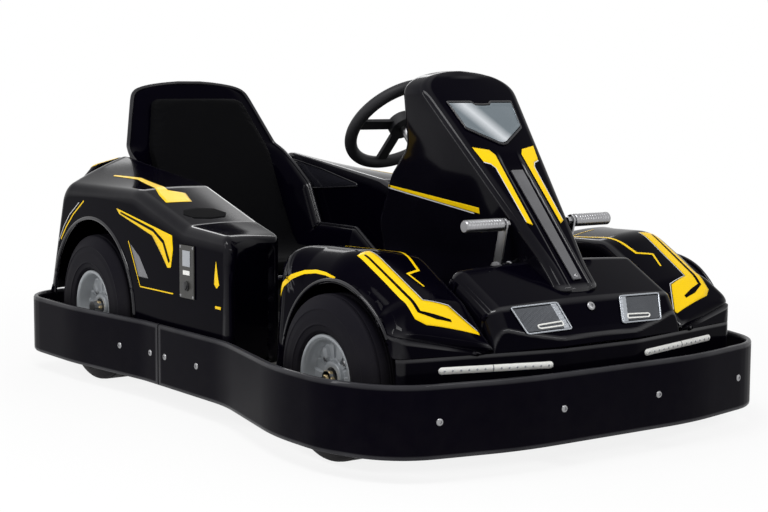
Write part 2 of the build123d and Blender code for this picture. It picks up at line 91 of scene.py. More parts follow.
# %% World, floor and lamps
WHITE, LIT_STRENGTH = (1, 1, 1, 1), 0.50
FLOOR_HALF, FLOOR_GREY, FLOOR_ROUGH = 30, 0.92, 0.9
# The floor shows its shadows near the kart and turns into pure white further out, in metres.
SHADOW_NEAR, SHADOW_FAR, SHADOW_WHITE = 0.9, 2.4, 0.86


def feed(tree, socket, value):
    """Gives an input its value: a link from another socket, or a setting, number or colour."""
    if isinstance(value, bpy.types.NodeSocket):
        tree.links.new(value, socket)
    else:
        socket.default_value = value


def node(tree, kind, *feeds, **values):
    """A new node: values are its settings, or its inputs by name, and feeds fill its inputs in turn."""
    made = tree.nodes.new(kind)
    for key, value in values.items():
        if hasattr(made, key):
            setattr(made, key, value)
        else:
            feed(tree, made.inputs[key.replace("_", " ")], value)
    for socket, value in zip(made.inputs, feeds):
        feed(tree, socket, value)
    return made


def sums(tree, operation, first, second, clamp=False):
    """One step of arithmetic: each side is a socket or a number."""
    return node(tree, "ShaderNodeMath", first, second, operation=operation, use_clamp=clamp).outputs[0]


def white_for_sight(tree):
    """A value that is 1 for camera, glossy and transmission rays."""
    path = tree.nodes.new("ShaderNodeLightPath").outputs
    either = sums(tree, "MAXIMUM", path["Is Camera Ray"], path["Is Glossy Ray"])
    return sums(tree, "MAXIMUM", either, path["Is Transmission Ray"])


world = bpy.data.worlds.new("white_room")
scene.world = world
world.use_nodes = True
air = world.node_tree
lit = air.nodes["Background"]
feed(air, lit.inputs["Color"], WHITE)
feed(air, lit.inputs["Strength"], LIT_STRENGTH)
seen = node(air, "ShaderNodeBackground", Color=WHITE)
pick = node(air, "ShaderNodeMixShader", white_for_sight(air), lit.outputs[0], seen.outputs[0])
air.links.new(pick.outputs[0], air.nodes["World Output"].inputs["Surface"])

floor_mesh = bpy.data.meshes.new("floor")
floor_corners = [(a * FLOOR_HALF, b * FLOOR_HALF, 0) for a, b in ((-1, -1), (1, -1), (1, 1), (-1, 1))]
floor_mesh.from_pydata(floor_corners, [], [(0, 1, 2, 3)])
floor = bpy.data.objects.new("floor", floor_mesh)
scene.collection.objects.link(floor)
paper = bpy.data.materials.new("floor_paper")
paper.use_nodes = True
tree = paper.node_tree
matte = tree.nodes["Principled BSDF"]
feed(tree, matte.inputs["Base Color"], (FLOOR_GREY, FLOOR_GREY, FLOOR_GREY, 1))
feed(tree, matte.inputs["Roughness"], FLOOR_ROUGH)
glow = node(tree, "ShaderNodeEmission", Color=WHITE)
spot = tree.nodes.new("ShaderNodeTexCoord").outputs["Object"]
reach = node(tree, "ShaderNodeVectorMath", spot, operation="LENGTH").outputs["Value"]
fade = node(tree, "ShaderNodeMapRange", Value=reach, From_Min=SHADOW_NEAR, From_Max=SHADOW_FAR,
            To_Min=SHADOW_WHITE, To_Max=1.0)
share = sums(tree, "MULTIPLY", white_for_sight(tree), fade.outputs[0])
blend = node(tree, "ShaderNodeMixShader", share, matte.outputs[0], glow.outputs[0])
tree.links.new(blend.outputs[0], tree.nodes["Material Output"].inputs["Surface"])
floor_mesh.materials.append(paper)

# Rows of name, place, aim, width, height, watts.
LAMPS = [
    ("top_box", (-1.3, -1.0, 3.0), (0, -0.2, 0.3), 1.8, 0.8, 50),
    ("left_strip", (-3.2, 0.4, 1.7), (0, 0, 0.3), 0.30, 2.6, 20),
    ("front_strip", (0.8, -3.4, 1.8), (0, -0.5, 0.3), 2.4, 0.3, 14),
    ("back_strip", (1.8, 3.0, 2.2), (0, 0, 0.4), 2.6, 0.5, 22),
]
for name, place, aim, width, height, watts in LAMPS:
    light = bpy.data.lights.new(name, "AREA")
    light.shape = "RECTANGLE"
    light.size, light.size_y, light.energy = width, height, watts
    lamp = bpy.data.objects.new(name, light)
    lamp.location = place
    lamp.rotation_euler = (Vector(aim) - Vector(place)).to_track_quat("-Z", "Y").to_euler()
    scene.collection.objects.link(lamp)
print("lamps", len(LAMPS))

# %% [markdown]
# Every finish shares one effect: a fine grain that moves the surface a little, a slow mottling of colour
# and gloss, road dust that settles near the ground, and rounded edges that get a paler colour, a painted
# highlight, and a clear coat. It is one node group with named inputs, placed in each finish with its own
# values. What stays the same over a surface, such as how metallic it is, is set on the shader itself.

# %% The shared surface group
NUMBER, COLOUR = "NodeSocketFloat", "NodeSocketColor"
SURFACE_INPUTS = [
    ("Colour", COLOUR, (0.5, 0.5, 0.5, 1)), ("Second", COLOUR, (0.5, 0.5, 0.5, 1)),
    ("Mottle", NUMBER, 12), ("Grain", NUMBER, 300), ("Roughness", NUMBER, 0.5), ("Spread", NUMBER, 0.1),
    ("Dust", NUMBER, 0.1), ("Dust Height", NUMBER, 0.2), ("Edge", NUMBER, 0), ("Rub", NUMBER, 0),
    ("Shine", NUMBER, 0),
]
DUST_COLOUR, DUST_SCALE = (0.30, 0.28, 0.25, 1), 34.0
# Painted highlight on rounded edges: its paler colour, and a base that the mottling adds to its mask.
PAINTED_EDGE_HIGHLIGHT_COLOUR, EDGE_HIGHLIGHT_BASE = (0.10, 0.10, 0.11, 1), 0.35
surface = bpy.data.node_groups.new("worn_surface", "ShaderNodeTree")
for label, kind, value in SURFACE_INPUTS:
    surface.interface.new_socket(label, in_out="INPUT", socket_type=kind).default_value = value
for label, kind in (("Colour", COLOUR), ("Roughness", NUMBER), ("Height", NUMBER), ("Polish", NUMBER)):
    surface.interface.new_socket(label, in_out="OUTPUT", socket_type=kind)


def mixed(tree, factor, first, second):
    """A colour part of the way from first to second; each is a socket or a colour."""
    mix = node(tree, "ShaderNodeMix", data_type="RGBA")
    for k, value in ((0, factor), (6, first), (7, second)):
        feed(tree, mix.inputs[k], value)
    return mix.outputs[2]


given = surface.nodes.new("NodeGroupInput").outputs
made = surface.nodes.new("NodeGroupOutput").inputs
place = surface.nodes.new("ShaderNodeTexCoord").outputs["Object"]
height = node(surface, "ShaderNodeSeparateXYZ", place).outputs["Z"]
mottle = node(surface, "ShaderNodeTexNoise", place, Detail=4.0, Scale=given["Mottle"]).outputs["Fac"]
grain = node(surface, "ShaderNodeTexNoise", place, Detail=2.0, Scale=given["Grain"]).outputs["Fac"]
dirt = node(surface, "ShaderNodeTexNoise", place, Detail=6.0, Scale=DUST_SCALE).outputs["Fac"]
risen = sums(surface, "DIVIDE", height, given["Dust Height"])
low = sums(surface, "SUBTRACT", 1.0, risen, clamp=True)
dusty = sums(surface, "MULTIPLY", sums(surface, "MULTIPLY", low, dirt), given["Dust"], clamp=True)
painted = mixed(surface, mottle, given["Colour"], given["Second"])
# Rounded edges get a paler colour, a painted highlight, and the same mask feeds the clear coat.
edge_highlight = sums(surface, "MULTIPLY", given["Edge"], sums(surface, "ADD", mottle, EDGE_HIGHLIGHT_BASE), clamp=True)
painted = mixed(surface, sums(surface, "MULTIPLY", edge_highlight, given["Rub"]), painted, PAINTED_EDGE_HIGHLIGHT_COLOUR)
wander = sums(surface, "MULTIPLY", sums(surface, "SUBTRACT", mottle, 0.5), given["Spread"])
gloss = sums(surface, "ADD", sums(surface, "ADD", given["Roughness"], wander), dusty, clamp=True)
surface.links.new(mixed(surface, dusty, painted, DUST_COLOUR), made["Colour"])
surface.links.new(gloss, made["Roughness"])
surface.links.new(grain, made["Height"])
surface.links.new(sums(surface, "MULTIPLY", edge_highlight, given["Shine"]), made["Polish"])
print("group", surface.name, len(surface.nodes), "nodes")

# %% [markdown]
# The finishes, one row each: two colours to wander between, grain, gloss, metal, and how strongly the
# grain moves the surface. The gloss black has a low specular level, because in a white room a usual
# plastic would look grey; its rounded edges get a clear coat, and the soft boxes draw lines along them.

# %% Finishes
# Rows of name, colour, second colour, mottle, grain, bump mm, roughness, spread, metallic, specular, dust.
FINISHES = [
    ("body_black", (.0006, .0003, .0022), (.0014, .0010, .0036), 6, 260, .015, .10, .05, 0, .014, .02),
    ("band_rubber", (.0008, .0004, .0026), (.0016, .0011, .0040), 9, 420, .08, .34, .14, 0, .016, .015),
    ("tyre_rubber", (.0030, .0026, .0052), (.0058, .0052, .0085), 14, 520, .20, .60, .15, 0, .06, .10),
    ("rim_grey", (.29, .31, .33), (.39, .41, .43), 10, 340, .06, .40, .14, .35, .4, .15),
    ("frame_black", (.012, .012, .013), (.020, .020, .021), 12, 380, .08, .45, .15, 0, .35, .5),
    ("floor_plate", (.020, .020, .022), (.034, .034, .036), 10, 300, .10, .50, .15, .2, .4, .6),
    ("steel", (.27, .27, .28), (.36, .36, .37), 20, 700, .04, .30, .16, 1, .5, .1),
    ("brass", (.55, .42, .22), (.66, .52, .30), 20, 600, .04, .32, .16, 1, .5, .2),
    ("grip_rubber", (.008, .008, .010), (.014, .014, .016), 16, 700, .14, .55, .15, 0, .25, .05),
    ("lamp_silver", (.30, .32, .35), (.42, .44, .47), 8, 500, .03, .26, .10, .8, .5, .05),
    ("strip_white", (.80, .80, .77), (.90, .90, .87), 20, 400, .02, .30, .10, 0, .4, .05),
    ("lamp_mesh", (.040, .044, .052), (.075, .080, .090), 30, 500, .03, .36, .10, .5, .5, .02),
    ("plate_silver", (.12, .15, .17), (.17, .20, .225), 12, 500, .02, .30, .10, .5, .4, .02),
    ("bar_grey", (.075, .075, .080), (.17, .17, .18), 14, 500, .02, .36, .10, .6, .4, .02),
    ("pad_black", (.0015, .0015, .002), (.003, .003, .0035), 20, 900, .20, .85, .08, 0, .04, .02),
    ("panel_black", (.022, .021, .019), (.032, .031, .028), 12, 420, .05, .38, .10, 0, .35, .10),
    ("battery_case", (.030, .032, .036), (.044, .046, .050), 10, 300, .08, .50, .12, 0, .4, .3),
    ("motor_case", (.20, .20, .21), (.29, .29, .30), 12, 360, .10, .48, .14, .7, .4, .35),
    ("stripe_yellow", (.95, .60, .002), (.99, .66, .004), 8, 400, .01, .30, .08, 0, .10, .02),
    ("stripe_pale", (.60, .60, .60), (.74, .74, .74), 8, 400, .01, .30, .08, 0, .35, .03),
    ("stripe_grey", (.10, .10, .11), (.20, .20, .21), 8, 400, .01, .34, .08, 0, .35, .03),
    ("window_gloss", (.010, .010, .014), (.020, .020, .026), 4, 200, .01, .05, .03, 0, .5, .02),
]
# Moulded finishes whose rounded edges get a painted highlight and a clear coat: how much paler, how much
# coat.
EDGE_HIGHLIGHTS = {"body_black": (.10, .8), "band_rubber": (.28, .30)}
DUST_TOP, BUMP_STRENGTH, COAT_ROUGH = 0.28, 0.6, 0.06
finish = {}
for name, colour, second, mottling, grains, bump_mm, rough, spread, metal, shine, dust in FINISHES:
    material = bpy.data.materials.new(name)
    material.use_nodes = True
    tree = material.node_tree
    effect = node(
        tree, "ShaderNodeGroup", node_tree=surface, Colour=(*colour, 1), Second=(*second, 1), Mottle=mottling,
        Grain=grains, Roughness=rough, Spread=spread, Dust=dust, Dust_Height=DUST_TOP)
    relief = node(tree, "ShaderNodeBump", Strength=BUMP_STRENGTH, Distance=bump_mm * MM,
                  Height=effect.outputs["Height"])
    shading = {"Metallic": metal, "Specular IOR Level": shine, "Base Color": effect.outputs["Colour"],
               "Roughness": effect.outputs["Roughness"], "Normal": relief.outputs["Normal"]}
    # Rounded edges of moulded finishes get a paler colour, a painted highlight, and a clear coat.
    if name in EDGE_HIGHLIGHTS:
        bend = node(tree, "ShaderNodeAttribute", attribute_name="edge").outputs["Fac"]
        for label, value in zip(("Edge", "Rub", "Shine"), (bend, *EDGE_HIGHLIGHTS[name])):
            feed(tree, effect.inputs[label], value)
        shading.update({"Coat Weight": effect.outputs["Polish"], "Coat Roughness": COAT_ROUGH})
    for label, value in shading.items():
        feed(tree, tree.nodes["Principled BSDF"].inputs[label], value)
    finish[name] = material
print("finishes", len(finish))

# %% [markdown]
# The CAD nodes that keep their own shape, such as the frame, the linkage and the driveline, get the
# finish that the record names for them. The rest are covered by the pieces below.

# %% Finishes on the CAD nodes
slot_of = {row["node"]: row["material_slot"] for row in frame["record"]["subparts"]}
for name, piece in frame["nodes"].items():
    piece.data.materials.clear()
    piece.data.materials.append(finish[slot_of[name]])
print("slots on nodes", len(slot_of))

# %% [markdown]
# Every new piece is a grid of points: rows one way, columns the other. A profile is written as a short
# table of corners with radii, turned into a line with true arcs, and read at even steps. These few
# helpers do that for whole arrays at once, so a piece is a formula and not a loop over points.

# %% Profiles, grids and pieces


def unit(vectors):
    """Each vector divided by its own length."""
    return vectors / np.maximum(np.linalg.norm(vectors, axis=-1, keepdims=True), 1e-12)


def rounded(rows, closed=False, steps=9):
    """A line through rows of first, second, radius.

    The arc at a corner is the rational quadratic between its tangent points, which lie
    radius times the tangent of half the turn away from the corner.
    """
    table = np.array(rows, float)
    corner, radius = table[:, :2], table[:, 2]
    before, after = np.roll(corner, 1, 0), np.roll(corner, -1, 0)
    if not closed:
        before[0], after[-1] = 2 * corner[0] - corner[1], 2 * corner[-1] - corner[-2]
    come, go = unit(corner - before), unit(after - corner)
    half = np.arccos(np.clip((come * go).sum(1), -1, 1)) / 2
    reach = (radius * np.tan(half))[:, None]
    s = np.linspace(0, 1, steps)[None, :, None]
    first, last = (corner - come * reach)[:, None], (corner + go * reach)[:, None]
    pull = 2 * s * (1 - s) * np.cos(half)[:, None, None]
    arc = (1 - s) ** 2 * first + pull * corner[:, None] + s ** 2 * last
    return (arc / ((1 - s) ** 2 + pull + s ** 2)).reshape(-1, 2)


def along(line):
    """The distance run at each point of a line."""
    return np.concatenate([[0], np.cumsum(np.linalg.norm(np.diff(line, axis=0), axis=1))])


def read_at(line, where, run=None):
    """The points of a line at the given distances."""
    run = along(line) if run is None else run
    return np.stack([np.interp(where, run, line[:, k]) for k in range(line.shape[1])], axis=1)


def even(line, count, closed=False):
    """The line at even steps."""
    line = np.vstack([line, line[:1]]) if closed else line
    return read_at(line, np.linspace(0, along(line)[-1], count, endpoint=not closed))


def matched(rows, count):
    """Inner and outer profiles at matching steps, from rows of y, z inside, y, z outside, radius."""
    table = np.array(rows, float)
    inner, outer = rounded(table[:, [0, 1, 4]]), rounded(table[:, [2, 3, 4]])
    run = along(outer) + 1e-6 * np.arange(len(outer))
    where = np.linspace(0, run[-1], count)
    return read_at(inner, where, run), read_at(outer, where, run)


def inward(line):
    """Unit normals of an open line, a quarter turn to the left of its run."""
    run = np.gradient(line, axis=0)
    return unit(np.stack([-run[:, 1], run[:, 0]], axis=1))


def roll(distance, radius):
    """How far a quarter-round edge has fallen at a distance from the edge."""
    short = np.clip(radius - distance, 0, radius)
    return radius - np.sqrt(radius ** 2 - short ** 2)


def crowded(count):
    """Shares from 0 to 1 that crowd towards both ends, where edges are rounded."""
    return 0.5 - 0.5 * np.cos(np.linspace(0, np.pi, count))


def ramp(value, start, stop):
    """The share of the way from start to stop: 0 before, 1 beyond, a straight line between."""
    return np.clip((value - start) / (stop - start), 0, 1)


def soft(share):
    """A share eased at both ends: three times its square less twice its cube."""
    return share * share * (3 - 2 * share)


def with_x(x, yz):
    """Points of x, y, z: x is spread over the grid of y, z."""
    return np.concatenate([np.broadcast_to(x, yz.shape[:-1] + (1,)), yz], axis=-1)


def mirrored(rows):
    """The rows of a left half and then, backwards, those of its mirror image."""
    return rows + [(-x, *rest) for x, *rest in reversed(rows)]


def border(grid):
    """The points round the edge of a grid, once round."""
    return np.concatenate([grid[:, 0], grid[-1, 1:-1], grid[::-1, -1], grid[0, -2:0:-1]])


def grid_faces(rows, cols, wrap_rows, wrap_cols):
    """Each face joins a point to its neighbours one row and one column on."""
    r, c = np.meshgrid(np.arange(rows - 1 + wrap_rows), np.arange(cols - 1 + wrap_cols), indexing="ij")
    r_next, c_next = (r + 1) % rows, (c + 1) % cols
    corners = [r * cols + c, r * cols + c_next, r_next * cols + c_next, r_next * cols + c]
    return np.stack(corners, axis=-1).reshape(-1, 4)


# How grids close: a turned piece or a bar across, a loop both ways.
TURNED, LOOPED = dict(wrap=(False, True), crease=60), dict(wrap=(True, True), crease=60)


def put(name, points, skin, body="chassis", slot=None, stands_for=(), wrap=(False, False), caps=False,
        inside=None, wall=0, crease=35):
    """One piece from a grid of points in mm, or from several equal grids in a fourth dimension."""
    points = np.asarray(points, float)
    copies = 1 if points.ndim == 3 else len(points)
    rows, cols = points.shape[-3], points.shape[-2]
    base = grid_faces(rows, cols, *wrap)
    shift = rows * cols * np.arange(copies)
    faces = (base[None] + shift[:, None, None]).reshape(-1, 4).tolist()
    if caps:
        ends = np.stack([np.arange(cols), np.arange(cols) + (rows - 1) * cols])
        faces += (ends[None] + shift[:, None, None]).reshape(-1, cols).tolist()
    mesh = bpy.data.meshes.new(name)
    mesh.from_pydata((points.reshape(-1, 3) * MM).tolist(), [], faces)
    shape = bmesh.new()
    shape.from_mesh(mesh)
    bmesh.ops.remove_doubles(shape, verts=shape.verts, dist=2e-5)
    bmesh.ops.dissolve_degenerate(shape, dist=1e-6, edges=shape.edges)
    bmesh.ops.recalc_face_normals(shape, faces=shape.faces)
    shape.to_mesh(mesh)
    shape.free()
    if inside is not None:
        face_out(mesh, np.array(inside) * MM)
    mesh.polygons.foreach_set("use_smooth", np.ones(len(mesh.polygons), bool))
    mesh.set_sharp_from_angle(angle=math.radians(crease))
    mark_edges(mesh)
    mesh.materials.append(finish[skin])
    piece = bpy.data.objects.new(name, mesh)
    scene.collection.objects.link(piece)
    if wall:
        shell = piece.modifiers.new("wall", "SOLIDIFY")
        shell.thickness, shell.offset = wall * MM, -1
    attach(piece, body)
    if stands_for:
        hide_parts(*stands_for)
    return piece


def read_points(mesh, what="co"):
    """All the points, or all the normals, of a mesh as one array."""
    values = np.empty(3 * len(mesh.vertices))
    mesh.vertices.foreach_get(what, values)
    return values.reshape(-1, 3)


def mark_edges(mesh, flat=48, tight=12):
    """Keeps how tightly the surface bends outwards: 0 at a flat radius, 1 at a tight one, in mm.

    Along a mesh edge, one over the radius is the change of normal along the edge over its length; a point
    takes the tightest of its edges.
    """
    points, normals = read_points(mesh), read_points(mesh, "normal")
    ends = np.empty(2 * len(mesh.edges), np.int32)
    mesh.edges.foreach_get("vertices", ends)
    a, b = ends.reshape(-1, 2).T
    way = points[b] - points[a]
    bend = ((normals[b] - normals[a]) * way).sum(1) / np.maximum((way ** 2).sum(1), 1e-12)
    share = ramp(bend * MM, 1 / flat, 1 / tight)
    most = np.zeros(len(points))
    np.maximum.at(most, a, share)
    np.maximum.at(most, b, share)
    mesh.attributes.new("edge", "FLOAT", "POINT").data.foreach_set("value", most)


def face_out(mesh, inside):
    """Turns every face round if, weighed by area, the faces look towards the inside point."""
    values = {}
    for key, size in (("center", 3), ("normal", 3), ("area", 1)):
        values[key] = np.empty((len(mesh.polygons), size))
        mesh.polygons.foreach_get(key, values[key].ravel())
    away = values["center"] - inside
    if ((away * values["normal"]).sum(1) * values["area"][:, 0]).sum() < 0:
        mesh.flip_normals()


def pair(name, points, skin, body="chassis", stands_for=(), inside=None, **rest):
    """A left piece and its mirror image on the right; bodies and nodes change side with it."""
    made = []
    for side, sign in (("left", 1), ("right", -1)):
        flip = np.array([sign, 1, 1])
        made.append(put(
            f"{name}_{side}", points * flip, skin, body=body.replace("left", side),
            stands_for=[n.replace("left", side) for n in stands_for],
            inside=None if inside is None else np.array(inside) * flip, **rest))
    return made


print("helpers ready")

# %% [markdown]
# The band is a rubber-covered rail round the whole kart. Its plan line is a closed run of lines and
# arcs, and a rounded section is carried round it: each point of the line moves inwards along its normal by
# the section's depth. The seam at the waist splits it into two halves, each held by dome-headed bolts.

# %% Band
BAND_LOW, BAND_HIGH, BAND_WALL, BAND_ROUND, SEAM_Y = 45, 187, 12, 5, 130
BAND_ROWS = [
    (230, -857.5, 700), (500, -800, 160), (556, -640, 250), (556, -480, 600),
    (484, -170, 450), (484, 200, 450), (518, 520, 900), (518, 857.5, 150),
]
band_line = even(rounded(mirrored(BAND_ROWS), closed=True), 900, True)
band_run = np.roll(band_line, -1, 0) - np.roll(band_line, 1, 0)
band_in = unit(np.stack([-band_run[:, 1], band_run[:, 0]], axis=1))
band_section = even(rounded([
    (0, BAND_LOW, BAND_ROUND), (0, BAND_HIGH, BAND_ROUND), (BAND_WALL, BAND_HIGH, BAND_ROUND),
    (BAND_WALL, BAND_LOW, BAND_ROUND)], closed=True), 96, True)


def carried(line, normals, section):
    """A section of depth, height carried along a plan line: the line plus depth times its inward normal."""
    plan = line[:, None] + normals[:, None] * section[None, :, :1]
    rise = np.broadcast_to(section[None, :, 1:], plan.shape[:2] + (1,))
    return np.concatenate([plan, rise], axis=2)


for name, start, keep in (
        ("bumper_front", band_line[:, 1].argmax(), band_line[:, 1] < SEAM_Y - 1),
        ("bumper_rear", band_line[:, 1].argmin(), band_line[:, 1] > SEAM_Y + 1)):
    order = np.roll(np.arange(len(band_line)), -start)
    order = order[keep[order]]
    put("band_" + name[7:], carried(band_line[order], band_in[order], band_section), "band_rubber",
        stands_for=[name], wrap=(False, True), caps=True)
print("band length", round(along(np.vstack([band_line, band_line[:1]]))[-1]), "mm")

# %% [markdown]
# Dome-headed bolts hold the band, the lamps and the panels. A bolt is a small turned profile set on a
# point and pointed along a normal; all bolts of a kind are one piece.

# %% Bolts
DOME = np.array([(0, 7.5), (1.6, 7.2), (2.6, 5.8), (3.0, 4.0), (3.0, 3.2), (1.2, 2.8), (1.2, 0.01)])


def studs(places, normals, profile, sides=14):
    """Turned studs: place plus height along the normal plus radius round it."""
    places, normals = np.array(places, float), unit(np.array(normals, float))
    helper = np.where(np.abs(normals[:, 2:]) > 0.9, [[1.0, 0, 0]], [[0, 0, 1.0]])
    first = unit(np.cross(normals, helper))
    second = np.cross(normals, first)
    turn = np.linspace(0, 2 * np.pi, sides, endpoint=False)
    ring = np.cos(turn)[None, :, None] * first[:, None] + np.sin(turn)[None, :, None] * second[:, None]
    return (places[:, None, None] + profile[None, :, None, :1] * normals[:, None, None]
            + profile[None, :, None, 1:] * ring[:, None])


def on_band(points, z):
    """Places at height z on the band's outer face, nearest to plan points, and their outward normals."""
    near = np.linalg.norm(np.array(points, float)[:, None] - band_line[None], axis=2).argmin(1)
    flat = np.zeros((len(near), 1))
    return np.hstack([band_line[near], flat + z]), np.hstack([-band_in[near], flat])


BOLT_Z, BOLT_SINK = 116, 0.8
BAND_BOLTS = [(126, -853), (402, -814), (484, -50), (485, 95), (485, 165), (492, 300), (420, 857), (160, 857)]
bolt_places, bolt_normals = on_band(BAND_BOLTS + [(-x, y) for x, y in BAND_BOLTS], BOLT_Z)
put("band_bolts", studs(bolt_places - BOLT_SINK * bolt_normals, bolt_normals, DOME), "steel", **TURNED)
print("band bolts", len(bolt_places))

# %% [markdown]
# The front fenders are vacuum-formed skins. In side view the skin follows a profile that rises behind
# the wheel, runs over it and falls to the nose; in plan it is bounded by the nose line. The top is lofted
# from the inner to the outer profile and loses height near its edges as a quarter round does, but stays
# out of the round that the wheel needs. An outer wall falls to the arch, an inner one into the footwell.

# %% Front fenders
FENDER_IN_X, FENDER_INNER_EDGE, FENDER_CROWN, SHELL = 250, 12, 7, 4
FRONT_AXLE = np.array([-552.5, 165.0])
FRONT_ARCH_R, ARCH_CLEAR, CLEAR_BELOW = 188, 2, -20
NOSE_ROWS = [(0, -822, 0), (100, -822, 150), (450, -750, 20), (460, -640, 150), (458, -250, 0)]
nose_line = even(rounded(NOSE_ROWS), 600)
FENDER_ROWS = [
    (-300, 106, -300, 106, 0), (-330, 390, -338, 406, 70), (-555, 394, -548, 411, 110),
    (-700, 314, -702, 324, 60), (-789, 236, -789, 232, 0)]
# Columns of y, and of the radius of the outer edge there.
EDGE_AT = [-752, -690, -440, -370], [8, 76, 76, 46]
# Columns of y, and of the height of the footwell's edge there.
WELL_AT = [-410, -390], [240, 106]
MAX_SLANT = 6


def nose_x(y):
    """Half width of the nose in plan at y."""
    return np.interp(y, nose_line[:, 1], nose_line[:, 0])


def nose_y(x):
    """Front of the nose in plan at x."""
    return np.interp(np.abs(x), nose_line[:, 0], nose_line[:, 1])


def arc_line(centre, radius, start, stop, count=60):
    """Points of y, z on an arc, angles in degrees from +y towards +z."""
    turn = np.radians(np.linspace(start, stop, count))
    return centre + radius * np.stack([np.cos(turn), np.sin(turn)], axis=1)


def paired(edge, bound, keys):
    """Points of bound for each point of edge: rows of y, z on both match, and runs between share evenly."""
    table = np.array(keys, float)
    runs = []
    for line, key in ((edge, table[:, :2]), (bound, table[:, 2:])):
        runs.append(along(line)[np.linalg.norm(line[:, None] - key[None], axis=2).argmin(0)])
    return read_at(bound, np.interp(along(edge), *runs))


def skirted(x, yz, foot, well_z, out_at, in_x, count):
    """A top and its walls: even shares from the outer edge to the foot and from the inner edge to well_z."""
    s = np.linspace(0, 1, count)[None, 1:, None]
    outer, inner = yz[:, -1:], yz[:, :1]
    wall_out = outer + s * (foot[:, None] - outer)
    well = np.stack([inner[..., 0], well_z[:, None]], axis=2)
    wall_in = inner + s[:, ::-1] * (well - inner)
    parts = with_x(in_x, wall_in), with_x(x[..., None], yz), with_x(out_at(wall_out[..., :1]), wall_out)
    return np.concatenate(parts, axis=1)


fender_inner, fender_outer = matched(FENDER_ROWS, 200)
fender_down = inward(fender_outer)
v = crowded(44)[None, :]
fender_yz = fender_inner[:, None] + v[..., None] * (fender_outer - fender_inner)[:, None]
fender_x = FENDER_IN_X + v * (nose_x(fender_yz[..., 0]) - FENDER_IN_X)
slant = np.gradient(nose_line[:, 0]) / np.maximum(np.gradient(nose_line[:, 1]), 1e-6)
lean = np.sqrt(1 + np.interp(fender_yz[..., 0], nose_line[:, 1], np.clip(slant, 0, MAX_SLANT)) ** 2)
to_edge = (nose_x(fender_yz[..., 0]) - fender_x) / lean
edge_round = np.interp(fender_yz[..., 0], *EDGE_AT)
fall = roll(to_edge, edge_round) + roll(fender_x - FENDER_IN_X, FENDER_INNER_EDGE)
crown = FENDER_CROWN * np.sin(np.pi * v)
fender_yz = fender_yz + (fall - crown)[..., None] * fender_down[:, None]
from_axle = fender_yz - FRONT_AXLE
spread = np.linalg.norm(from_axle, axis=2, keepdims=True)
clear_r = FRONT_ARCH_R + ARCH_CLEAR
over_wheel = (from_axle[..., 1:] > CLEAR_BELOW) & (spread < clear_r)
fender_yz = np.where(over_wheel, FRONT_AXLE + from_axle * clear_r / spread, fender_yz)
outer_edge, inner_edge = fender_yz[:, -1], fender_yz[:, 0]
arch = even(np.vstack([
    [(-300, 106), (-364.5, 106), (-364.5, 150)], arc_line(FRONT_AXLE, FRONT_ARCH_R, 0, 160),
    [(-735, 226), (-760, 226), (-789, 226)]]), 500)
foot = paired(outer_edge, arch, [
    (-300, 106, -300, 106), (-318, 250, -364.5, 140), (-370, 365, -408, 286), (-560, 365, -552, 353),
    (-728, 250, -735, 226), (-789, 226, -789, 226)])
well_z = np.minimum(np.interp(inner_edge[:, 0], *WELL_AT), inner_edge[:, 1] - 1)
fender_grid = skirted(fender_x, fender_yz, foot, well_z, nose_x, FENDER_IN_X, 16)
fenders = pair("fender_skin", fender_grid, "body_black", stands_for=["front_fender_left"],
               inside=(360, -540, 150), wall=SHELL)
print("fender grid", fender_grid.shape)

# %% [markdown]
# The hood is the raised nose between the fenders. Its side profile drops at the lamp ledge; across, it
# is bowed, and its long sides are rounded before they fall to the fenders. The nose line in plan cuts its
# front. The fascia below it is an upright wall carried along the same nose line.

# %% Hood and fascia
HOOD_HALF, HOOD_EDGE, HOOD_BOW, HOOD_LOW, HOOD_INSET = 250, 30, 9, 222, 2
HOOD_ROWS = [(-628, 300, 0), (-640, 378, 16), (-772, 306, 9), (-800, 256, 14), (-828, 224, 0)]


def hood_bow(x):
    """How far the hood is bowed at x: a parabola across, highest in the middle."""
    return HOOD_BOW * (1 - (x / HOOD_HALF) ** 2)


hood_line = even(rounded(HOOD_ROWS), 110)
hood_down = inward(hood_line)
hood_x = HOOD_HALF * (2 * crowded(81) - 1)[None, :]
bow = hood_bow(hood_x) - roll(HOOD_HALF - np.abs(hood_x), HOOD_EDGE)
hood_yz = hood_line[:, None] - bow[..., None] * hood_down[:, None]
hood_yz[..., 0] = np.maximum(hood_yz[..., 0], nose_y(hood_x) + HOOD_INSET)
hood_top = with_x(hood_x[..., None], hood_yz)
drop = np.linspace(0, 1, 8)[None, 1:, None]
to_low = np.minimum(HOOD_LOW - hood_top[:, -1:, 2:], 0)
hood_side = hood_top[:, -1:] + drop * to_low * np.array([0, 0, 1])
hood_grid = np.concatenate([hood_side[:, ::-1] * np.array([-1, 1, 1]), hood_top, hood_side], axis=1)
put("hood_skin", hood_grid, "body_black", stands_for=["hood"], inside=(0, -690, 150), wall=SHELL)

FASCIA_END_Y = -741
fascia_half = nose_line[nose_line[:, 1] < FASCIA_END_Y]
fascia_line = even(np.vstack([fascia_half[:0:-1] * np.array([-1, 1]), fascia_half]), 300)
fascia_section = even(rounded([(5, 130, 0), (0, 130, 5), (0, 226, 1.5), (16, 226, 0)]), 30)
put("fascia_skin", carried(fascia_line, inward(fascia_line), fascia_section), "body_black",
    stands_for=["front_fascia"], inside=(0, -600, 180), wall=SHELL)
print("hood grid", hood_grid.shape)

# %% [markdown]
# The steering fairing is a tall hollow pillar that leans back from the nose and widens towards its
# top. At each height its section is a rounded rectangle: the half width, the front and the rear are each a
# line over height, and the corners are arcs. The front face is slightly crowned, with a shallow channel.

# %% Steering fairing
FAIRING_CORNER, FAIRING_CROWN, CORNER_SHARE = 20, 7, 0.45
CHANNEL_HALF, CHANNEL_DEPTH, CHANNEL_WALL = 21, 6, 8
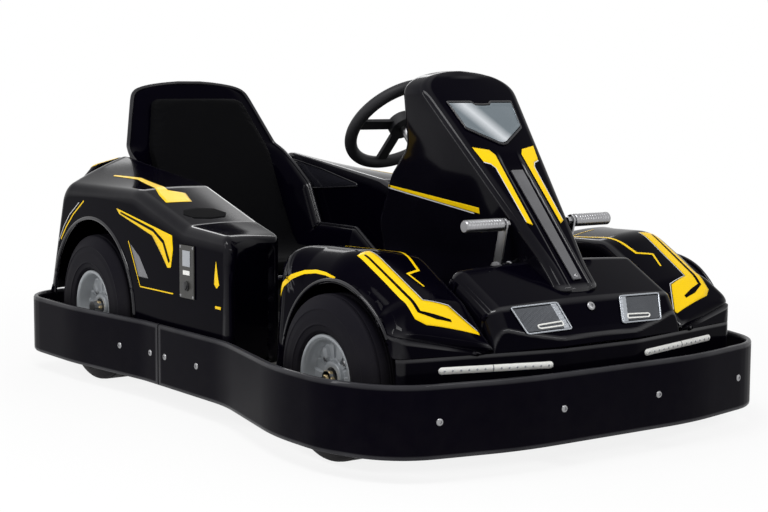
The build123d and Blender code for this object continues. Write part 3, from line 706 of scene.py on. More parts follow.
# Heights between which the channel fades in at its lower end and at its upper one.
CHANNEL_LOW, CHANNEL_HIGH = (322, 334), (596, 566)
PANEL_OUT = np.array([-0.73, 0.683])
FAIRING_WIDTH = [(106, 58, 0), (372, 56, 120), (712, 128, 0), (766, 138, 0)]
FAIRING_FRONT = [
    (106, -438, 0), (236, -438, 0), (238, -640, 0), (296, -640, 20), (318, -748, 6), (332, -757, 6),
    (752, -374, 8), (765.5, -352, 0)]
FAIRING_REAR = [
    (106, -145, 0), (425, -145, 40), (536, -222, 30), (600, -300, 60), (752, -322, 8), (765.5, -334, 0)]
# The top closes as half an ellipse; its last row stays just below the ellipse's end.
ARCH_Z, ARCH_RISE, ARCH_REACH = 712, 53.6, 53.4
fairing_z = np.concatenate([
    np.linspace(106, 290, 24), np.linspace(296, ARCH_Z, 84),
    ARCH_Z + ARCH_REACH * np.sin(np.linspace(0.08, np.pi / 2, 22))])


def over_height(rows, z):
    """The value of a rounded line of height, value at the heights z."""
    line = rounded(rows)
    order = line[:, 0].argsort(kind="stable")
    return np.interp(z, line[order, 0], line[order, 1])


def fairing_half(z):
    """Half width at height z: a tapering line, closed by half an ellipse above the shoulders."""
    arch = np.sqrt(np.clip(1 - ((z - ARCH_Z) / ARCH_RISE) ** 2, 0, 1))
    return over_height(FAIRING_WIDTH, z) * np.where(z > ARCH_Z, arch, 1)


def fairing_crown(x, z):
    """How far the front panel stands out: a parabola across, less a soft-walled channel in the middle."""
    wall = ramp(np.abs(x), CHANNEL_HALF + CHANNEL_WALL, CHANNEL_HALF)
    channel = CHANNEL_DEPTH * soft(wall) * ramp(z, *CHANNEL_LOW) * ramp(z, *CHANNEL_HIGH)
    return FAIRING_CROWN * np.clip(1 - (x / fairing_half(z)) ** 2, 0, 1) - channel


def on_fairing(x, z, lift):
    """Points on the crowned front panel at x, z, raised by lift along the panel's normal."""
    y = over_height(FAIRING_FRONT, z) - fairing_crown(x, z)
    return np.stack([x + 0 * y, y + PANEL_OUT[0] * lift, z + PANEL_OUT[1] * lift + 0 * y], axis=-1)


def corner_stations(side, end, start, count=8):
    """One corner of the section: its side and end, and a quarter turn of directions from the start angle."""
    turn = np.radians(start + np.linspace(0, 90, count))
    return np.stack([np.full(count, side), np.full(count, end), np.cos(turn), np.sin(turn)], axis=1)


half = fairing_half(fairing_z)[:, None]
front, rear = (over_height(rows, fairing_z)[:, None] for rows in (FAIRING_FRONT, FAIRING_REAR))
corner = np.minimum(FAIRING_CORNER, np.minimum(half, (rear - front) / 2) * CORNER_SHARE)
# Stations round the section: side of the middle, front or rear, and the arc's own direction.
face = np.linspace(-1, 1, 83)[1:-1]
flat = np.zeros_like(face)
stations = np.concatenate([
    corner_stations(-1, -1, 180), np.stack([face, flat - 1, flat, flat - 1], axis=1),
    corner_stations(1, -1, 270), corner_stations(1, 1, 0), corner_stations(-1, 1, 90)])[None]
fairing_px = stations[..., 0] * (half - corner) + stations[..., 2] * corner
middle, depth = (front + rear) / 2, (rear - front) / 2
fairing_py = middle + stations[..., 1] * (depth - corner) + stations[..., 3] * corner
fairing_py -= np.where(stations[..., 1] < 0, fairing_crown(fairing_px, fairing_z[:, None]), 0)
fairing_pz = np.broadcast_to(fairing_z[:, None], fairing_px.shape)
fairing_grid = np.stack([fairing_px, fairing_py, fairing_pz], axis=2)
fairing = put(
    "fairing_skin", fairing_grid, "body_black", stands_for=["steering_fairing"], wrap=(False, True),
    caps=True, inside=(0, -420, 400), crease=50)
print("fairing grid", fairing_grid.shape)

# %% [markdown]
# A side pod and its rear fender are one moulding. The top is lofted between an inner profile beside
# the seat, which climbs to the seat's shoulder, and an outer one over the wheel. Walls fall from its
# edges: the outer one to the sill and round the rear wheel arch, the inner one to the floor.

# %% Side pods
POD_IN_X, POD_OUT_X, POD_EDGE, POD_INNER_EDGE, POD_LOW, POD_CROWN = 255, 460, 22, 10, 106, 4
REAR_AXLE = np.array([513.5, 180.0])
REAR_ARCH_R = 218
POD_ROWS = [
    (-56, 384, -146, 408, 0), (60, 416, 45, 416, 60), (290, 488, 284, 484, 120), (775, 552, 680, 474, 60),
    (806, 200, 770, 200, 0)]
POD_BROW, POD_IN_CORNER, POD_OUT_CORNER = 26, 46, 16
# Columns of y, and of the height of the inner wall's foot there, which clears the axle.
POD_FOOT_AT = [320, 330], [POD_LOW, 190]
pod_inner, pod_outer = matched(POD_ROWS, 240)
pod_up = inward(pod_outer)
v = crowded(44)[None, :]
pod_yz = pod_inner[:, None] + v[..., None] * (pod_outer - pod_inner)[:, None]


def pod_out(y):
    """Half width of the pod's outer wall, rounded into the front."""
    return POD_OUT_X - roll(y - POD_ROWS[0][2], POD_OUT_CORNER)


pod_in = POD_IN_X + roll(pod_inner[:, :1] - POD_ROWS[0][0], POD_IN_CORNER)
pod_x = pod_in + v * (pod_out(pod_outer[:, :1]) - pod_in)
from_front = (pod_yz - pod_yz[:1])[..., 0]
fall = roll(pod_x[:, -1:] - pod_x, POD_EDGE) + roll(pod_x - pod_x[:, :1], POD_INNER_EDGE)
fall = fall + roll(from_front, POD_BROW) - POD_CROWN * np.sin(np.pi * v)
pod_yz = pod_yz - fall[..., None] * pod_up[:, None]
outer_edge, inner_edge = pod_yz[:, -1], pod_yz[:, 0]
sill = even(np.vstack([
    [(-146, POD_LOW), (295.5, POD_LOW), (295.5, 170)], arc_line(REAR_AXLE, REAR_ARCH_R, 180, 5),
    [(731, 190), (768, 192)]]), 700)
foot = paired(outer_edge, sill, [
    (-146, 360, -146, 106), (245, 450, 295.5, 106), (300, 462, 300, 225), (513, 460, 513, 398),
    (690, 440, 690, 308), (770, 200, 768, 192)])
low_z = np.minimum(np.interp(inner_edge[:, 0], *POD_FOOT_AT), inner_edge[:, 1])
pod_grid = skirted(pod_x, pod_yz, foot, low_z, pod_out, pod_in[:, None], 18)
brow = pod_grid[:1]
rise = np.linspace(0, 1, 10)[:-1, None, None]
front_wall = np.concatenate([
    np.broadcast_to(brow[..., :2], (9,) + brow.shape[1:2] + (2,)),
    POD_LOW + rise * (brow[..., 2:] - POD_LOW)], axis=2)
pods = pair("pod_skin", np.concatenate([front_wall, pod_grid], axis=0), "body_black",
            stands_for=["side_pod_left"], inside=(360, 200, 250), wall=SHELL)
print("pod grid", pod_grid.shape)

# %% [markdown]
# The edges of the wheel arches are rolled outwards, which stiffens a thin moulding and catches the light.
# A roll is a round bar along the arch, set into the wall.

# %% Arch rolls


def tube(path, radius, sides=12, closed=True):
    """A round bar along a path: the path plus a circle in the plane across its run."""
    run = unit(np.roll(path, -1, 0) - np.roll(path, 1, 0)) if closed else unit(np.gradient(path, axis=0))
    helper = np.where(np.abs(run[:, 2:]) > 0.95, [[1.0, 0, 0]], [[0, 0, 1.0]])
    first = unit(np.cross(run, helper))
    second = np.cross(run, first)
    turn = np.linspace(0, 2 * np.pi, sides, endpoint=False)[None, :, None]
    return path[:, None] + radius * (np.cos(turn) * first[:, None] + np.sin(turn) * second[:, None])


LIP_OUT, LIP_SINK = 4, 1
# Rows of name, axle, arch radius, first and last angle, half width over y, bar radius.
for name, axle, radius, first, last, half_width, bar in (
        ("pod_arch_roll", REAR_AXLE, REAR_ARCH_R, 178, 8, pod_out, 5),
        ("fender_arch_roll", FRONT_AXLE, FRONT_ARCH_R, 12, 150, nose_x, 3.5)):
    lip = arc_line(axle, radius + LIP_OUT, first, last, 90)
    lip = with_x(half_width(lip[:, :1]) - LIP_SINK, lip)
    pair(name, tube(lip, bar, closed=False), "body_black", caps=True, **TURNED)
    print(name, len(lip), "points")

# %% [markdown]
# The tail cowl closes the back between the two pods. Its outline in the rear view is carried back and
# rounded over into the flat rear face, whose rings shrink to one point. A thin deck lies in front of it.

# %% Tail
TAIL_FRONT_Y, TAIL_REAR_Y, TAIL_EDGE, TAIL_HALF, TAIL_MID_Z, TAIL_WALL = 806, 842, 14, 345, 365, 3
TAIL_ROWS = [(TAIL_HALF, 196, 12), (TAIL_HALF, 468, 30), (300, 516, 40), (225, 534, 40)]
DECK_ROWS = [(764, 512, 0), (764, 519, 4), (838, 519, 0)]
tail_line = even(rounded(mirrored(TAIL_ROWS), closed=True), 260, True)
tail_middle = np.array([0, TAIL_MID_Z])
turn = np.linspace(0, np.pi / 2, 8)
inset = np.concatenate([[0], TAIL_EDGE * (1 - np.cos(turn)), np.linspace(TAIL_EDGE + 33, TAIL_HALF, 9)])
tail_y = np.concatenate([
    [TAIL_FRONT_Y], TAIL_REAR_Y - TAIL_EDGE + TAIL_EDGE * np.sin(turn), np.full(9, TAIL_REAR_Y)])
shrink = 1 - inset[:, None, None] / TAIL_HALF
tail_xz = tail_middle + shrink * (tail_line - tail_middle)[None]
tail_grid = np.stack(np.broadcast_arrays(tail_xz[..., 0], tail_y[:, None], tail_xz[..., 1]), axis=2)
tail = put("tail_skin", tail_grid, "body_black", stands_for=["tail_cover"], wrap=(False, True),
           inside=(0, 700, 360), wall=TAIL_WALL)
deck_x = POD_IN_X * (2 * crowded(41) - 1)
deck_line = even(rounded(DECK_ROWS), 30)
deck = np.stack(np.broadcast_arrays(deck_x[None, :], deck_line[:, :1], deck_line[:, 1:]), axis=2)
put("tail_deck", deck, "body_black", inside=(0, 800, 400), wall=TAIL_WALL)
print("tail grid", tail_grid.shape)

# %% [markdown]
# The bucket seat is one bent shell: a base, a back and raised sides, with a rolled rim. Along, it
# follows the side profile; across, a flat middle turns up into the sides by a smooth step along the
# profile's normal. The width narrows with height to give the shoulders and the rounded top.

# %% Seat shell
SIDE_RISE, RIM_R, SEAT_WALL, FLAT_SHARE = 92, 5.5, 6, 0.72
SEAT_ROWS = [(200, 262, 0), (600, 262, 80), (845.5, 734, 0)]
# Rows of height, half width, radius.
BACK_ROWS = [(0, 239, 0), (540, 239, 60), (690, 184, 60), (712, 174, 0)]
TOP_Z, TOP_RISE, TOP_BACK, TOP_RUN, TOP_KEPT = 700, 34.2, 9, 50, 0.2
# The sides rise along the base, and fade out up the back, where the shoulders lean back instead.
RISE_RUN, FADE_Z, LEAN_Z = (20, 170), (570, 420), (480, 570)
seat_profile = rounded(SEAT_ROWS)
top_from = along(seat_profile)[-1] - TOP_RUN
seat_line = read_at(seat_profile, np.concatenate([
    np.linspace(0, top_from, 100), top_from + TOP_RUN * np.sin(np.linspace(0.05, np.pi / 2, 24))]))
seat_in = inward(seat_line)
seat_z = seat_line[:, 1:]
run = along(seat_line)[:, None]
top_round = np.clip(1 - (np.clip(seat_z - TOP_Z, 0, TOP_RISE) / TOP_RISE) ** 3, 0.05, 1) ** 0.5
seat_width = np.interp(seat_z, *rounded(BACK_ROWS).T) * top_round
c = (2 * crowded(71) - 1)[None, :]
step = soft(ramp(np.abs(c), FLAT_SHARE, 1))
sides = SIDE_RISE * ramp(run, *RISE_RUN) * ramp(seat_z, *FADE_Z)
shoulders = TOP_BACK * ramp(seat_z, *LEAN_Z) * (top_round - TOP_KEPT) / (1 - TOP_KEPT)
seat_yz = seat_line[:, None] + ((sides - shoulders) * step)[..., None] * seat_in[:, None]
seat_grid = with_x((c * seat_width)[..., None], seat_yz)
put("seat_bucket", seat_grid, "body_black", stands_for=["seat_shell"], inside=(0, 900, 0), wall=SEAT_WALL)
put("seat_rim", tube(even(border(seat_grid), 420, closed=True), RIM_R), "body_black", **LOOPED)
print("seat grid", seat_grid.shape)

# %% [markdown]
# Wheels are turned pieces: a profile of distance along the axle and radius is spun round the axle. The
# tyre's profile has a flat tread with shallow grooves and raised sidewall rings; the rim's has a rolled
# lip and a deep dish. The face of the rim is a disc whose height ripples into six ribs and six slots.

# %% Tyres and rims


def spun(profile, centre, sides):
    """A profile of distance, radius spun round a line across the kart through the centre."""
    turn = np.linspace(0, 2 * np.pi, sides, endpoint=False)[None, :]
    a, r = profile[:, :1], profile[:, 1:]
    return np.stack([
        np.broadcast_to(centre[0] + a, (len(profile), sides)), centre[1] + r * np.cos(turn),
        centre[2] + r * np.sin(turn)], axis=2)


FRONT_WHEEL, REAR_WHEEL = (440, -552.5, 165), (415, 513.5, 180)
RIBS, RIB_HIGH, WEB_AT, WEB_RUN, WEB_IN, WEB_OUT = 6, 6, 17, 8, 33, 17
# Heights of the cosine round the disc between which a rib rises and a slot falls.
RIB_WAVE, SLOT_WAVE = (0.55, 0.75), (0.90, 0.96)
# Rows of name ending, centre, tyre radius, rim flange radius, tyre half width, body.
WHEELS = [
    ("front", FRONT_WHEEL, 165, 87.5, 50, "wheel_front_left"),
    ("rear", REAR_WHEEL, 180, 92.5, 54, "rear_axle_set"),
]
for ending, centre, tyre_r, flange, half, body in WHEELS:
    sidewall = [
        (half - 12, flange - 9.5, 0), (half - 12, flange + 1, 2), (half - 4, flange + 6, 4),
        (half - 2, flange + 17, 3), (half, flange + 19, 2), (half - 1, flange + 23, 2),
        (half - 1, tyre_r - 42, 12), (half - 2.6, tyre_r - 31, 3), (half - 1.6, tyre_r - 28, 2),
        (half - 3.4, tyre_r - 25, 4), (half - 15.5, tyre_r - 2.5, 9)]
    tread = [
        (half - 22, tyre_r - 0.5, 1), (half - 23, tyre_r - 4, 1), (half - 26, tyre_r - 4, 1),
        (half - 27, tyre_r, 1), (5, tyre_r, 1), (4, tyre_r - 4, 1), (1.5, tyre_r - 4, 1), (0.5, tyre_r, 1)]
    tyre_line = rounded(mirrored(sidewall + tread), steps=4)
    pair("tread_" + ending, spun(tyre_line, centre, 120), "tyre_rubber", body=body,
         stands_for=[f"tyre_{ending}_left"], wrap=(False, True), inside=centre, crease=30)
    lip = half - 8
    rim_rows = [
        (12, 20, 0), (26, 20, 2), (26, 31, 2), (WEB_AT, 34, 3), (WEB_AT, flange - 20, 4),
        (lip - 14, flange - 14.5, 4), (lip - 3, flange - 11, 4), (lip, flange - 6, 3), (lip, flange, 2),
        (lip - 4, flange, 1), (lip - 5, flange - 9, 0), (5 - lip, flange - 9, 0), (4 - lip, flange, 1),
        (-lip, flange, 2), (-lip, flange - 8, 3), (4 - lip, flange - 14.5, 4), (6, flange - 16, 4),
        (6, 30, 0), (-lip, 28, 2), (-lip, 20, 0)]
    rim = spun(even(rounded(rim_rows, steps=6), 150), np.zeros(3), 216)
    wave = np.cos(RIBS * np.arctan2(rim[..., 2], rim[..., 1]))
    reach = np.hypot(rim[..., 1], rim[..., 2])
    web = ramp(reach, WEB_IN, WEB_IN + WEB_RUN) * ramp(reach, flange - WEB_OUT, flange - WEB_OUT - WEB_RUN)
    web = web * (np.abs(rim[..., 0] - WEB_AT) < 3)
    rim[..., 0] += web * RIB_HIGH * (ramp(wave, *RIB_WAVE) - ramp(-wave, *SLOT_WAVE))
    pair("rim_" + ending, rim + np.array(centre), "rim_grey", body=body, stands_for=[f"rim_{ending}_left"],
         wrap=(True, True), inside=centre, crease=32)
print("wheels", 2 * len(WHEELS))

# %% [markdown]
# The shield on the fairing is a plain silver plate with a raised rim. Each column of its grid runs from a
# lower outline to an upper one, so a V below and a notch above are just two functions of x. A slanted pale
# band in its colour is a painted gleam, and a black frame runs round it. The bar below lies in the panel's
# channel.

# %% Shield and centre bar
SHIELD_HALF, SHIELD_RIM, SHIELD_LIFT, RIM_HIGH, RIM_RUN = 85, 5, 3.0, 1.4, 1.5
FRAME_GAP, FRAME_R, FRAME_LIFT, FRAME_WIDEN = 3, 2.6, 2.0, 1.03
# Columns of distance from the middle, and of height.
SHIELD_TOP_AT = [0, 20, 26, SHIELD_HALF], [689, 690, 695, 695]
SHIELD_LOW_AT = [0, 10, 75, SHIELD_HALF], [613, 615, 646, 692]
shield_x = (SHIELD_HALF * np.linspace(-1, 1, 69))[None, :]
shield_top, shield_low = (np.interp(np.abs(shield_x), *table) for table in (SHIELD_TOP_AT, SHIELD_LOW_AT))
shield_z = shield_low + crowded(33)[:, None] * (shield_top - shield_low)
to_edge = np.minimum(shield_z - shield_low, shield_top - shield_z)
to_edge = np.minimum(to_edge, SHIELD_HALF - np.abs(shield_x) + 1)
rim_step = ramp(to_edge, SHIELD_RIM + 1, SHIELD_RIM + 1 - RIM_RUN)
lift = SHIELD_LIFT + RIM_HIGH * rim_step - roll(to_edge, RIM_RUN)
put("shield_plate", on_fairing(shield_x, shield_z, lift), "plate_silver", stands_for=["number_plate"],
    inside=(0, -300, 600), wall=3)
outline = even(np.concatenate([
    np.stack([shield_x[0], shield_low[0] - FRAME_GAP], axis=1),
    np.stack([shield_x[0, ::-1] * FRAME_WIDEN, shield_top[0, ::-1] + FRAME_GAP], axis=1)]), 240, closed=True)
put("shield_frame", tube(on_fairing(*outline.T, FRAME_LIFT), FRAME_R, sides=10), "body_black", **LOOPED)

# The painted gleam is a pale band of colour across the slanted direction, where it runs and half its width in
# metres.
GLEAM_X, GLEAM_Z, GLEAM_AT, GLEAM_HALF = 0.76, 0.65, 0.413, 0.026
PAINTED_GLEAM_COLOUR = (0.62, 0.65, 0.68, 1)
silver = finish["plate_silver"].node_tree
place = silver.nodes.new("ShaderNodeTexCoord").outputs["Object"]
spot = node(silver, "ShaderNodeSeparateXYZ", place).outputs
# The painted gleam: a pale slanted band mixed into the plate's colour.
slanted = sums(silver, "ADD", sums(silver, "MULTIPLY", spot["X"], GLEAM_X),
               sums(silver, "MULTIPLY", spot["Z"], GLEAM_Z))
away = sums(silver, "ABSOLUTE", sums(silver, "SUBTRACT", slanted, GLEAM_AT), 0)
painted_gleam = sums(silver, "SUBTRACT", 1.0, sums(silver, "DIVIDE", away, GLEAM_HALF), clamp=True)
shine = mixed(silver, painted_gleam, silver.nodes["Group"].outputs["Colour"], PAINTED_GLEAM_COLOUR)
silver.links.new(shine, silver.nodes["Principled BSDF"].inputs["Base Color"])

BAR_LOW, BAR_HIGH, BAR_LIFT, BAR_EDGE, SCREW_Z, SCREW_LIFT = 346, 556, 5, 3, 352.0, 4.5
bar_z = np.linspace(BAR_LOW, BAR_HIGH, 60)[:, None]
bar_half = np.interp(bar_z, [BAR_LOW, BAR_HIGH], [12, 17])
bar_x = np.linspace(-1, 1, 21)[None, :] * bar_half
bar_lift = BAR_LIFT - roll(bar_half - np.abs(bar_x), BAR_EDGE)
put("fairing_bar", on_fairing(bar_x, bar_z, bar_lift), "bar_grey", slot=slot_of["fairing_strip"],
    stands_for=["fairing_strip"], inside=(0, -300, 450), wall=4)
screws = on_fairing(np.zeros(1), np.array([SCREW_Z]), SCREW_LIFT)
put("fairing_screws", studs(screws, [(0, *PANEL_OUT)], DOME * (0.8, 0.6)), "steel", **TURNED)
print("shield", shield_z.shape)

# %% [markdown]
# The headlamps sit on the hood's sloping front face. Their lens is a bilinear patch between four corners
# of the face, with a fine honeycomb of bumps as real geometry, a bright rolled bezel round it, a ribbed strip
# along the inner side and a looped light tube near the lower edge.

# %% Headlamps
FACE_LOW, FACE_TOP = np.array([-800.0, 256.0]), np.array([-772.0, 306.0])
FACE_OUT = np.array([-0.873, 0.489])
# The lamp's inner and outer x at the foot and at the top of the face, and its width and height.
LAMP_LOW, LAMP_TOP, LAMP_SIZE = (69, 180), (85, 200), (112, 57)
CELL, CELL_HIGH, LENS_LIFT, LAMP_IN = 4.2, 0.5, 2.2, (130, -600, 250)
# Corners in shares of the lamp's width and height, with radii.
BEZEL_ROWS = [(0, 0, 0.05), (1, 0, 0.05), (1, 1, 0.05), (0, 1, 0.05)]
TUBE_ROWS = [(0.14, 0.30, 0.02), (0.70, 0.26, 0.05), (0.70, 0.13, 0.05), (0.14, 0.15, 0.02)]
STRIP_FROM, STRIP_TO, STRIP_RIBS, STRIP_EDGE, STRIP_LIFT = 0.02, 0.16, 6, 1.2, 3.4


def on_face(x, t, lift):
    """Points on the hood's bowed front face at x and share t of its height, raised by lift."""
    out = (hood_bow(x) + lift)[..., None]
    yz = FACE_LOW + np.asarray(t)[..., None] * (FACE_TOP - FACE_LOW) + out * FACE_OUT
    return with_x(x[..., None], yz)


def on_lamp(u, t, lift):
    """Points of the lamp's slanted patch: u from its inner to its outer side, t up the face."""
    low, top = (ends[0] + u * (ends[1] - ends[0]) for ends in (LAMP_LOW, LAMP_TOP))
    return on_face(low + t * (top - low), t, lift)


u, t = np.meshgrid(np.linspace(0.02, 0.98, 104), np.linspace(0.06, 0.94, 52), indexing="ij")
across, up = u * LAMP_SIZE[0], t * LAMP_SIZE[1]
cells = np.cos(2 * np.pi * across / CELL) * np.cos(np.pi * (up / CELL + 0.5 * np.round(across / CELL)))
pair("lamp_lens", on_lamp(u, t, LENS_LIFT + CELL_HIGH * cells), "lamp_mesh", slot="lamp_silver",
     stands_for=["headlamp_left"], inside=LAMP_IN, wall=2)
bezel = even(rounded(BEZEL_ROWS, closed=True), 120, closed=True)
pair("lamp_bezel", tube(on_lamp(*bezel.T, 2.6), 1.9, sides=10), "lamp_silver", **LOOPED)
u, t = np.meshgrid(np.linspace(STRIP_FROM, STRIP_TO, 9), np.linspace(0.04, 0.96, 90), indexing="ij")
ribbed = STRIP_LIFT + 0.5 * np.cos(2 * np.pi * t * STRIP_RIBS)
ribbed = ribbed - roll(np.minimum(u - STRIP_FROM, STRIP_TO - u) * LAMP_SIZE[0], STRIP_EDGE)
pair("lamp_side", on_lamp(u, t, ribbed), "lamp_silver", inside=LAMP_IN, wall=2)
loop = even(rounded(TUBE_ROWS, closed=True), 90, closed=True)
pair("lamp_bar", tube(on_lamp(*loop.T, 3.6), 1.6, sides=10), "strip_white", **LOOPED)
nose_bolt = on_face(np.array([0.0]), np.array([0.74]), 1.5)
put("nose_bolt", studs(nose_bolt, [(0, *FACE_OUT)], DOME * (1.3, 1.25)), "steel", **TURNED)
print("lens points a lamp", cells.size)

# %% [markdown]
# The daytime lights are white bars with round ends, set along the fascia, with a row of small domes for
# the diodes and a seam in the middle. The bar's half height closes as a half circle at both ends.

# %% Daytime lights
LED_FROM, LED_TO, LED_Z, LED_HALF, LED_LIFT = 124, 368, 196, 7, 5
LED_STEP, LED_SLOPE, LED_FLAT = 17, 0.016, 0.96
DOT_OUT, DOT_SINK, SEAM_AT, SEAM_HALF, SEAM_R = (0.2, -0.98, 0.0), 0.4, 254.5, 6.8, 0.9


def on_fascia(x, z, lift):
    """Points on the fascia at x, raised outwards by lift along the nose line's normal."""
    slope = np.gradient(nose_line[:, 1]) / np.maximum(np.gradient(nose_line[:, 0]), 1e-6)
    way = np.interp(x, nose_line[:, 0], slope)
    size = np.sqrt(1 + way ** 2)
    return np.stack([x + lift * way / size, nose_y(x) - lift / size, z + 0 * x], axis=-1)


led_x = LED_FROM + (LED_TO - LED_FROM) * crowded(90)[:, None]
ends = np.clip(np.minimum(led_x - LED_FROM, LED_TO - led_x) / LED_HALF, 0, 1)
led_half = LED_HALF * np.sqrt(1 - (1 - ends) ** 2)
w = np.sin(np.linspace(-np.pi / 2, np.pi / 2, 15))[None, :]
led_z = LED_Z + (led_x - LED_FROM) * LED_SLOPE + led_half * w
led_lift = LED_LIFT * np.sqrt(1 - LED_FLAT * w ** 2)
led_grid = on_fascia(led_x + 0 * w, led_z, led_lift * (led_half / LED_HALF))
pair("led_bar", led_grid, "strip_white", stands_for=["light_strip_left"], inside=(240, -600, 200), wall=2)
dot_x = np.arange(LED_FROM + 12, LED_TO - 8, LED_STEP)
dots = on_fascia(dot_x, LED_Z + (dot_x - LED_FROM) * LED_SLOPE, LED_LIFT - DOT_SINK)
dot_out = np.tile(DOT_OUT, (len(dot_x), 1))
pair("led_dots", studs(dots, dot_out, DOME * (0.35, 0.30), sides=10), "lamp_silver", **TURNED)
seam = on_fascia(SEAM_AT + 0 * w[0], LED_Z + 2 + SEAM_HALF * w[0], led_lift[0] + 0.1)
pair("led_seam", tube(seam, SEAM_R, sides=6, closed=False), "stripe_grey", slot="panel_black",
     wrap=(False, True), caps=True)
print("diodes a side", len(dot_x))

# %% [markdown]
# The foot pegs are ribbed bars on flat steel arms. Slightly slanted grooves are cut into the upper half,
# where the shoe rests, so the peg's radius loses a cosine that winds round it once a groove. The arm is a
# flat section carried from its pivot to the peg, and the pivot is a turned boss with a bolt head.

# %% Foot pegs
PEG_AT, PIVOT_AT, ARM_X = np.array([-625.0, 454.0]), np.array([-605.0, 360.0]), 92
PEG_FROM, PEG_TO, PEG_R, RIB_STEP, RIB_DEEP, PLAIN_END = 98, 196, 13.5, 7.0, 1.1, 8
ARM_HALF, ARM_MID, ARM_STRAIGHT, ARM_ROUND = 12, 48, 49, 146
peg_a = np.concatenate([
    [PEG_FROM, PEG_FROM], np.linspace(PEG_FROM + 2, PEG_TO - 3, 120), [PEG_TO, PEG_TO]])[:, None]
peg_r = np.concatenate([[0.01, 11.5], np.full(120, PEG_R), [11, 0.01]])[:, None]
turn = np.linspace(0, 2 * np.pi, 132, endpoint=False)[None, :]
wind = 2 * np.pi * peg_a / RIB_STEP
ribbed = (peg_a > PEG_FROM + PLAIN_END) & (peg_a < PEG_TO - PLAIN_END)
groove = np.clip(np.cos(wind + turn), 0, 1) ** 2 * np.clip(0.5 + 1.5 * np.sin(turn), 0, 1)
peg_r = peg_r - RIB_DEEP * ribbed * groove
peg_yz = PEG_AT + peg_r[..., None] * np.stack([np.cos(turn), np.sin(turn)], axis=2)
pair("peg_grip", with_x(peg_a[..., None], peg_yz), "steel", stands_for=["pedal_left"], wrap=(False, True),
     inside=(147, *PEG_AT), crease=50)

arm_way = unit((PEG_AT - PIVOT_AT)[None])[0]
arm_side = np.array([-arm_way[1], arm_way[0]])
arm_s = np.concatenate([[-13], np.linspace(-12, 108, 50), [109]])[:, None]
past_end = np.clip(np.abs(arm_s - ARM_MID) - ARM_STRAIGHT, 0, ARM_HALF)
arm_half = ARM_HALF * np.sqrt(np.clip(1 - past_end ** 2 / ARM_ROUND, 0.001, 1))
flat = rounded([(-1, -3, 0.9), (1, -3, 0.9), (1, 3, 0.9), (-1, 3, 0.9)], closed=True, steps=5)
arm_yz = PIVOT_AT + arm_s[..., None] * arm_way + (arm_half * flat[None, :, 0])[..., None] * arm_side
arm = with_x(ARM_X + flat[None, :, 1:], arm_yz)
pair("peg_arm", arm, "steel", wrap=(False, True), caps=True, inside=(ARM_X, -615, 410), crease=40)
BOSS = np.array([
    (57, 15), (60, 15), (61, 13), (84, 13), (85, 16), (88, 16), (98, 16), (99, 9), (104, 9), (105, 8),
    (105, 0.01)])
pair("peg_boss", spun(BOSS, np.array([0, *PIVOT_AT]), 40), "steel", wrap=(False, True), crease=35)
TOP_BOLT = np.array([(80, 0.01), (80, 8), (85, 9), (88.5, 9), (88.6, 11), (98, 11)])
pair("peg_bolt", spun(TOP_BOLT, np.array([0, *PEG_AT]), 6), "steel", wrap=(False, True), crease=20)
print("peg points", peg_a.size * turn.size)

# %% [markdown]
# On the right pod a small control plate, held by four screws, carries a display, a blank label and a knob.
# Plate, display and label are the same kind of surface: a rectangle whose height falls as a quarter round
# near its edge. The knob is turned, like the bolts.

# %% Control plate


def tablet(centre, size, thick, edge, count=24):
    """A raised rectangle on the right pod's wall: y, z by shares of its size, height rolled at the edge."""
    a = (2 * crowded(count) - 1)[:, None] * size[0] / 2
    b = (2 * crowded(count) - 1)[None, :] * size[1] / 2
    near = np.minimum(size[0] / 2 - np.abs(a), size[1] / 2 - np.abs(b))
    high = thick - roll(near, edge)
    return np.stack([-POD_OUT_X - high, centre[0] + a + 0 * b, centre[1] + b + 0 * a], axis=2)


PLATE_MID = np.array([29.0, 316.0])
PLATE_IN = (0, *PLATE_MID)
put("control_plate", tablet(PLATE_MID, (66, 120), 4, 2), "panel_black", stands_for=["control_panel"],
    inside=PLATE_IN, wall=3)
display = tablet(PLATE_MID + (0, 30), (34, 36), 5.2, 1)
put("control_display", display, "lamp_silver", inside=PLATE_IN, wall=1.5)
label = tablet(PLATE_MID + (0, -2), (30, 10), 5.0, 0.6)
put("control_label", label, "strip_white", inside=PLATE_IN, wall=1.2)
KNOB = np.array([(0, 11), (3, 11), (3.4, 9), (6, 8.4), (6.4, 7.6), (6.4, 0.01)])
KNOB_AT, SCREW_X, OUT = (-POD_OUT_X - 4, 29, 284), -POD_OUT_X - 3.4, (-1.0, 0, 0)
put("control_knob", studs([KNOB_AT], [OUT], KNOB, sides=28), "frame_black", wrap=(False, True), crease=30)
screw_yz = PLATE_MID + np.array([(-28, -55), (28, -55), (-28, 55), (28, 55)])
screws = studs(with_x(SCREW_X, screw_yz), [OUT] * 4, DOME * (0.4, 0.45), sides=10)
put("control_screws", screws, "steel", **TURNED)
print("control screws", len(screw_yz))

# %% [markdown]
# Each pod has a shallow glossy panel in the wall beside the driver's shoulder. It is a lens-shaped patch
# between a lower and an upper line in side view, framed by a thin moulded lip.

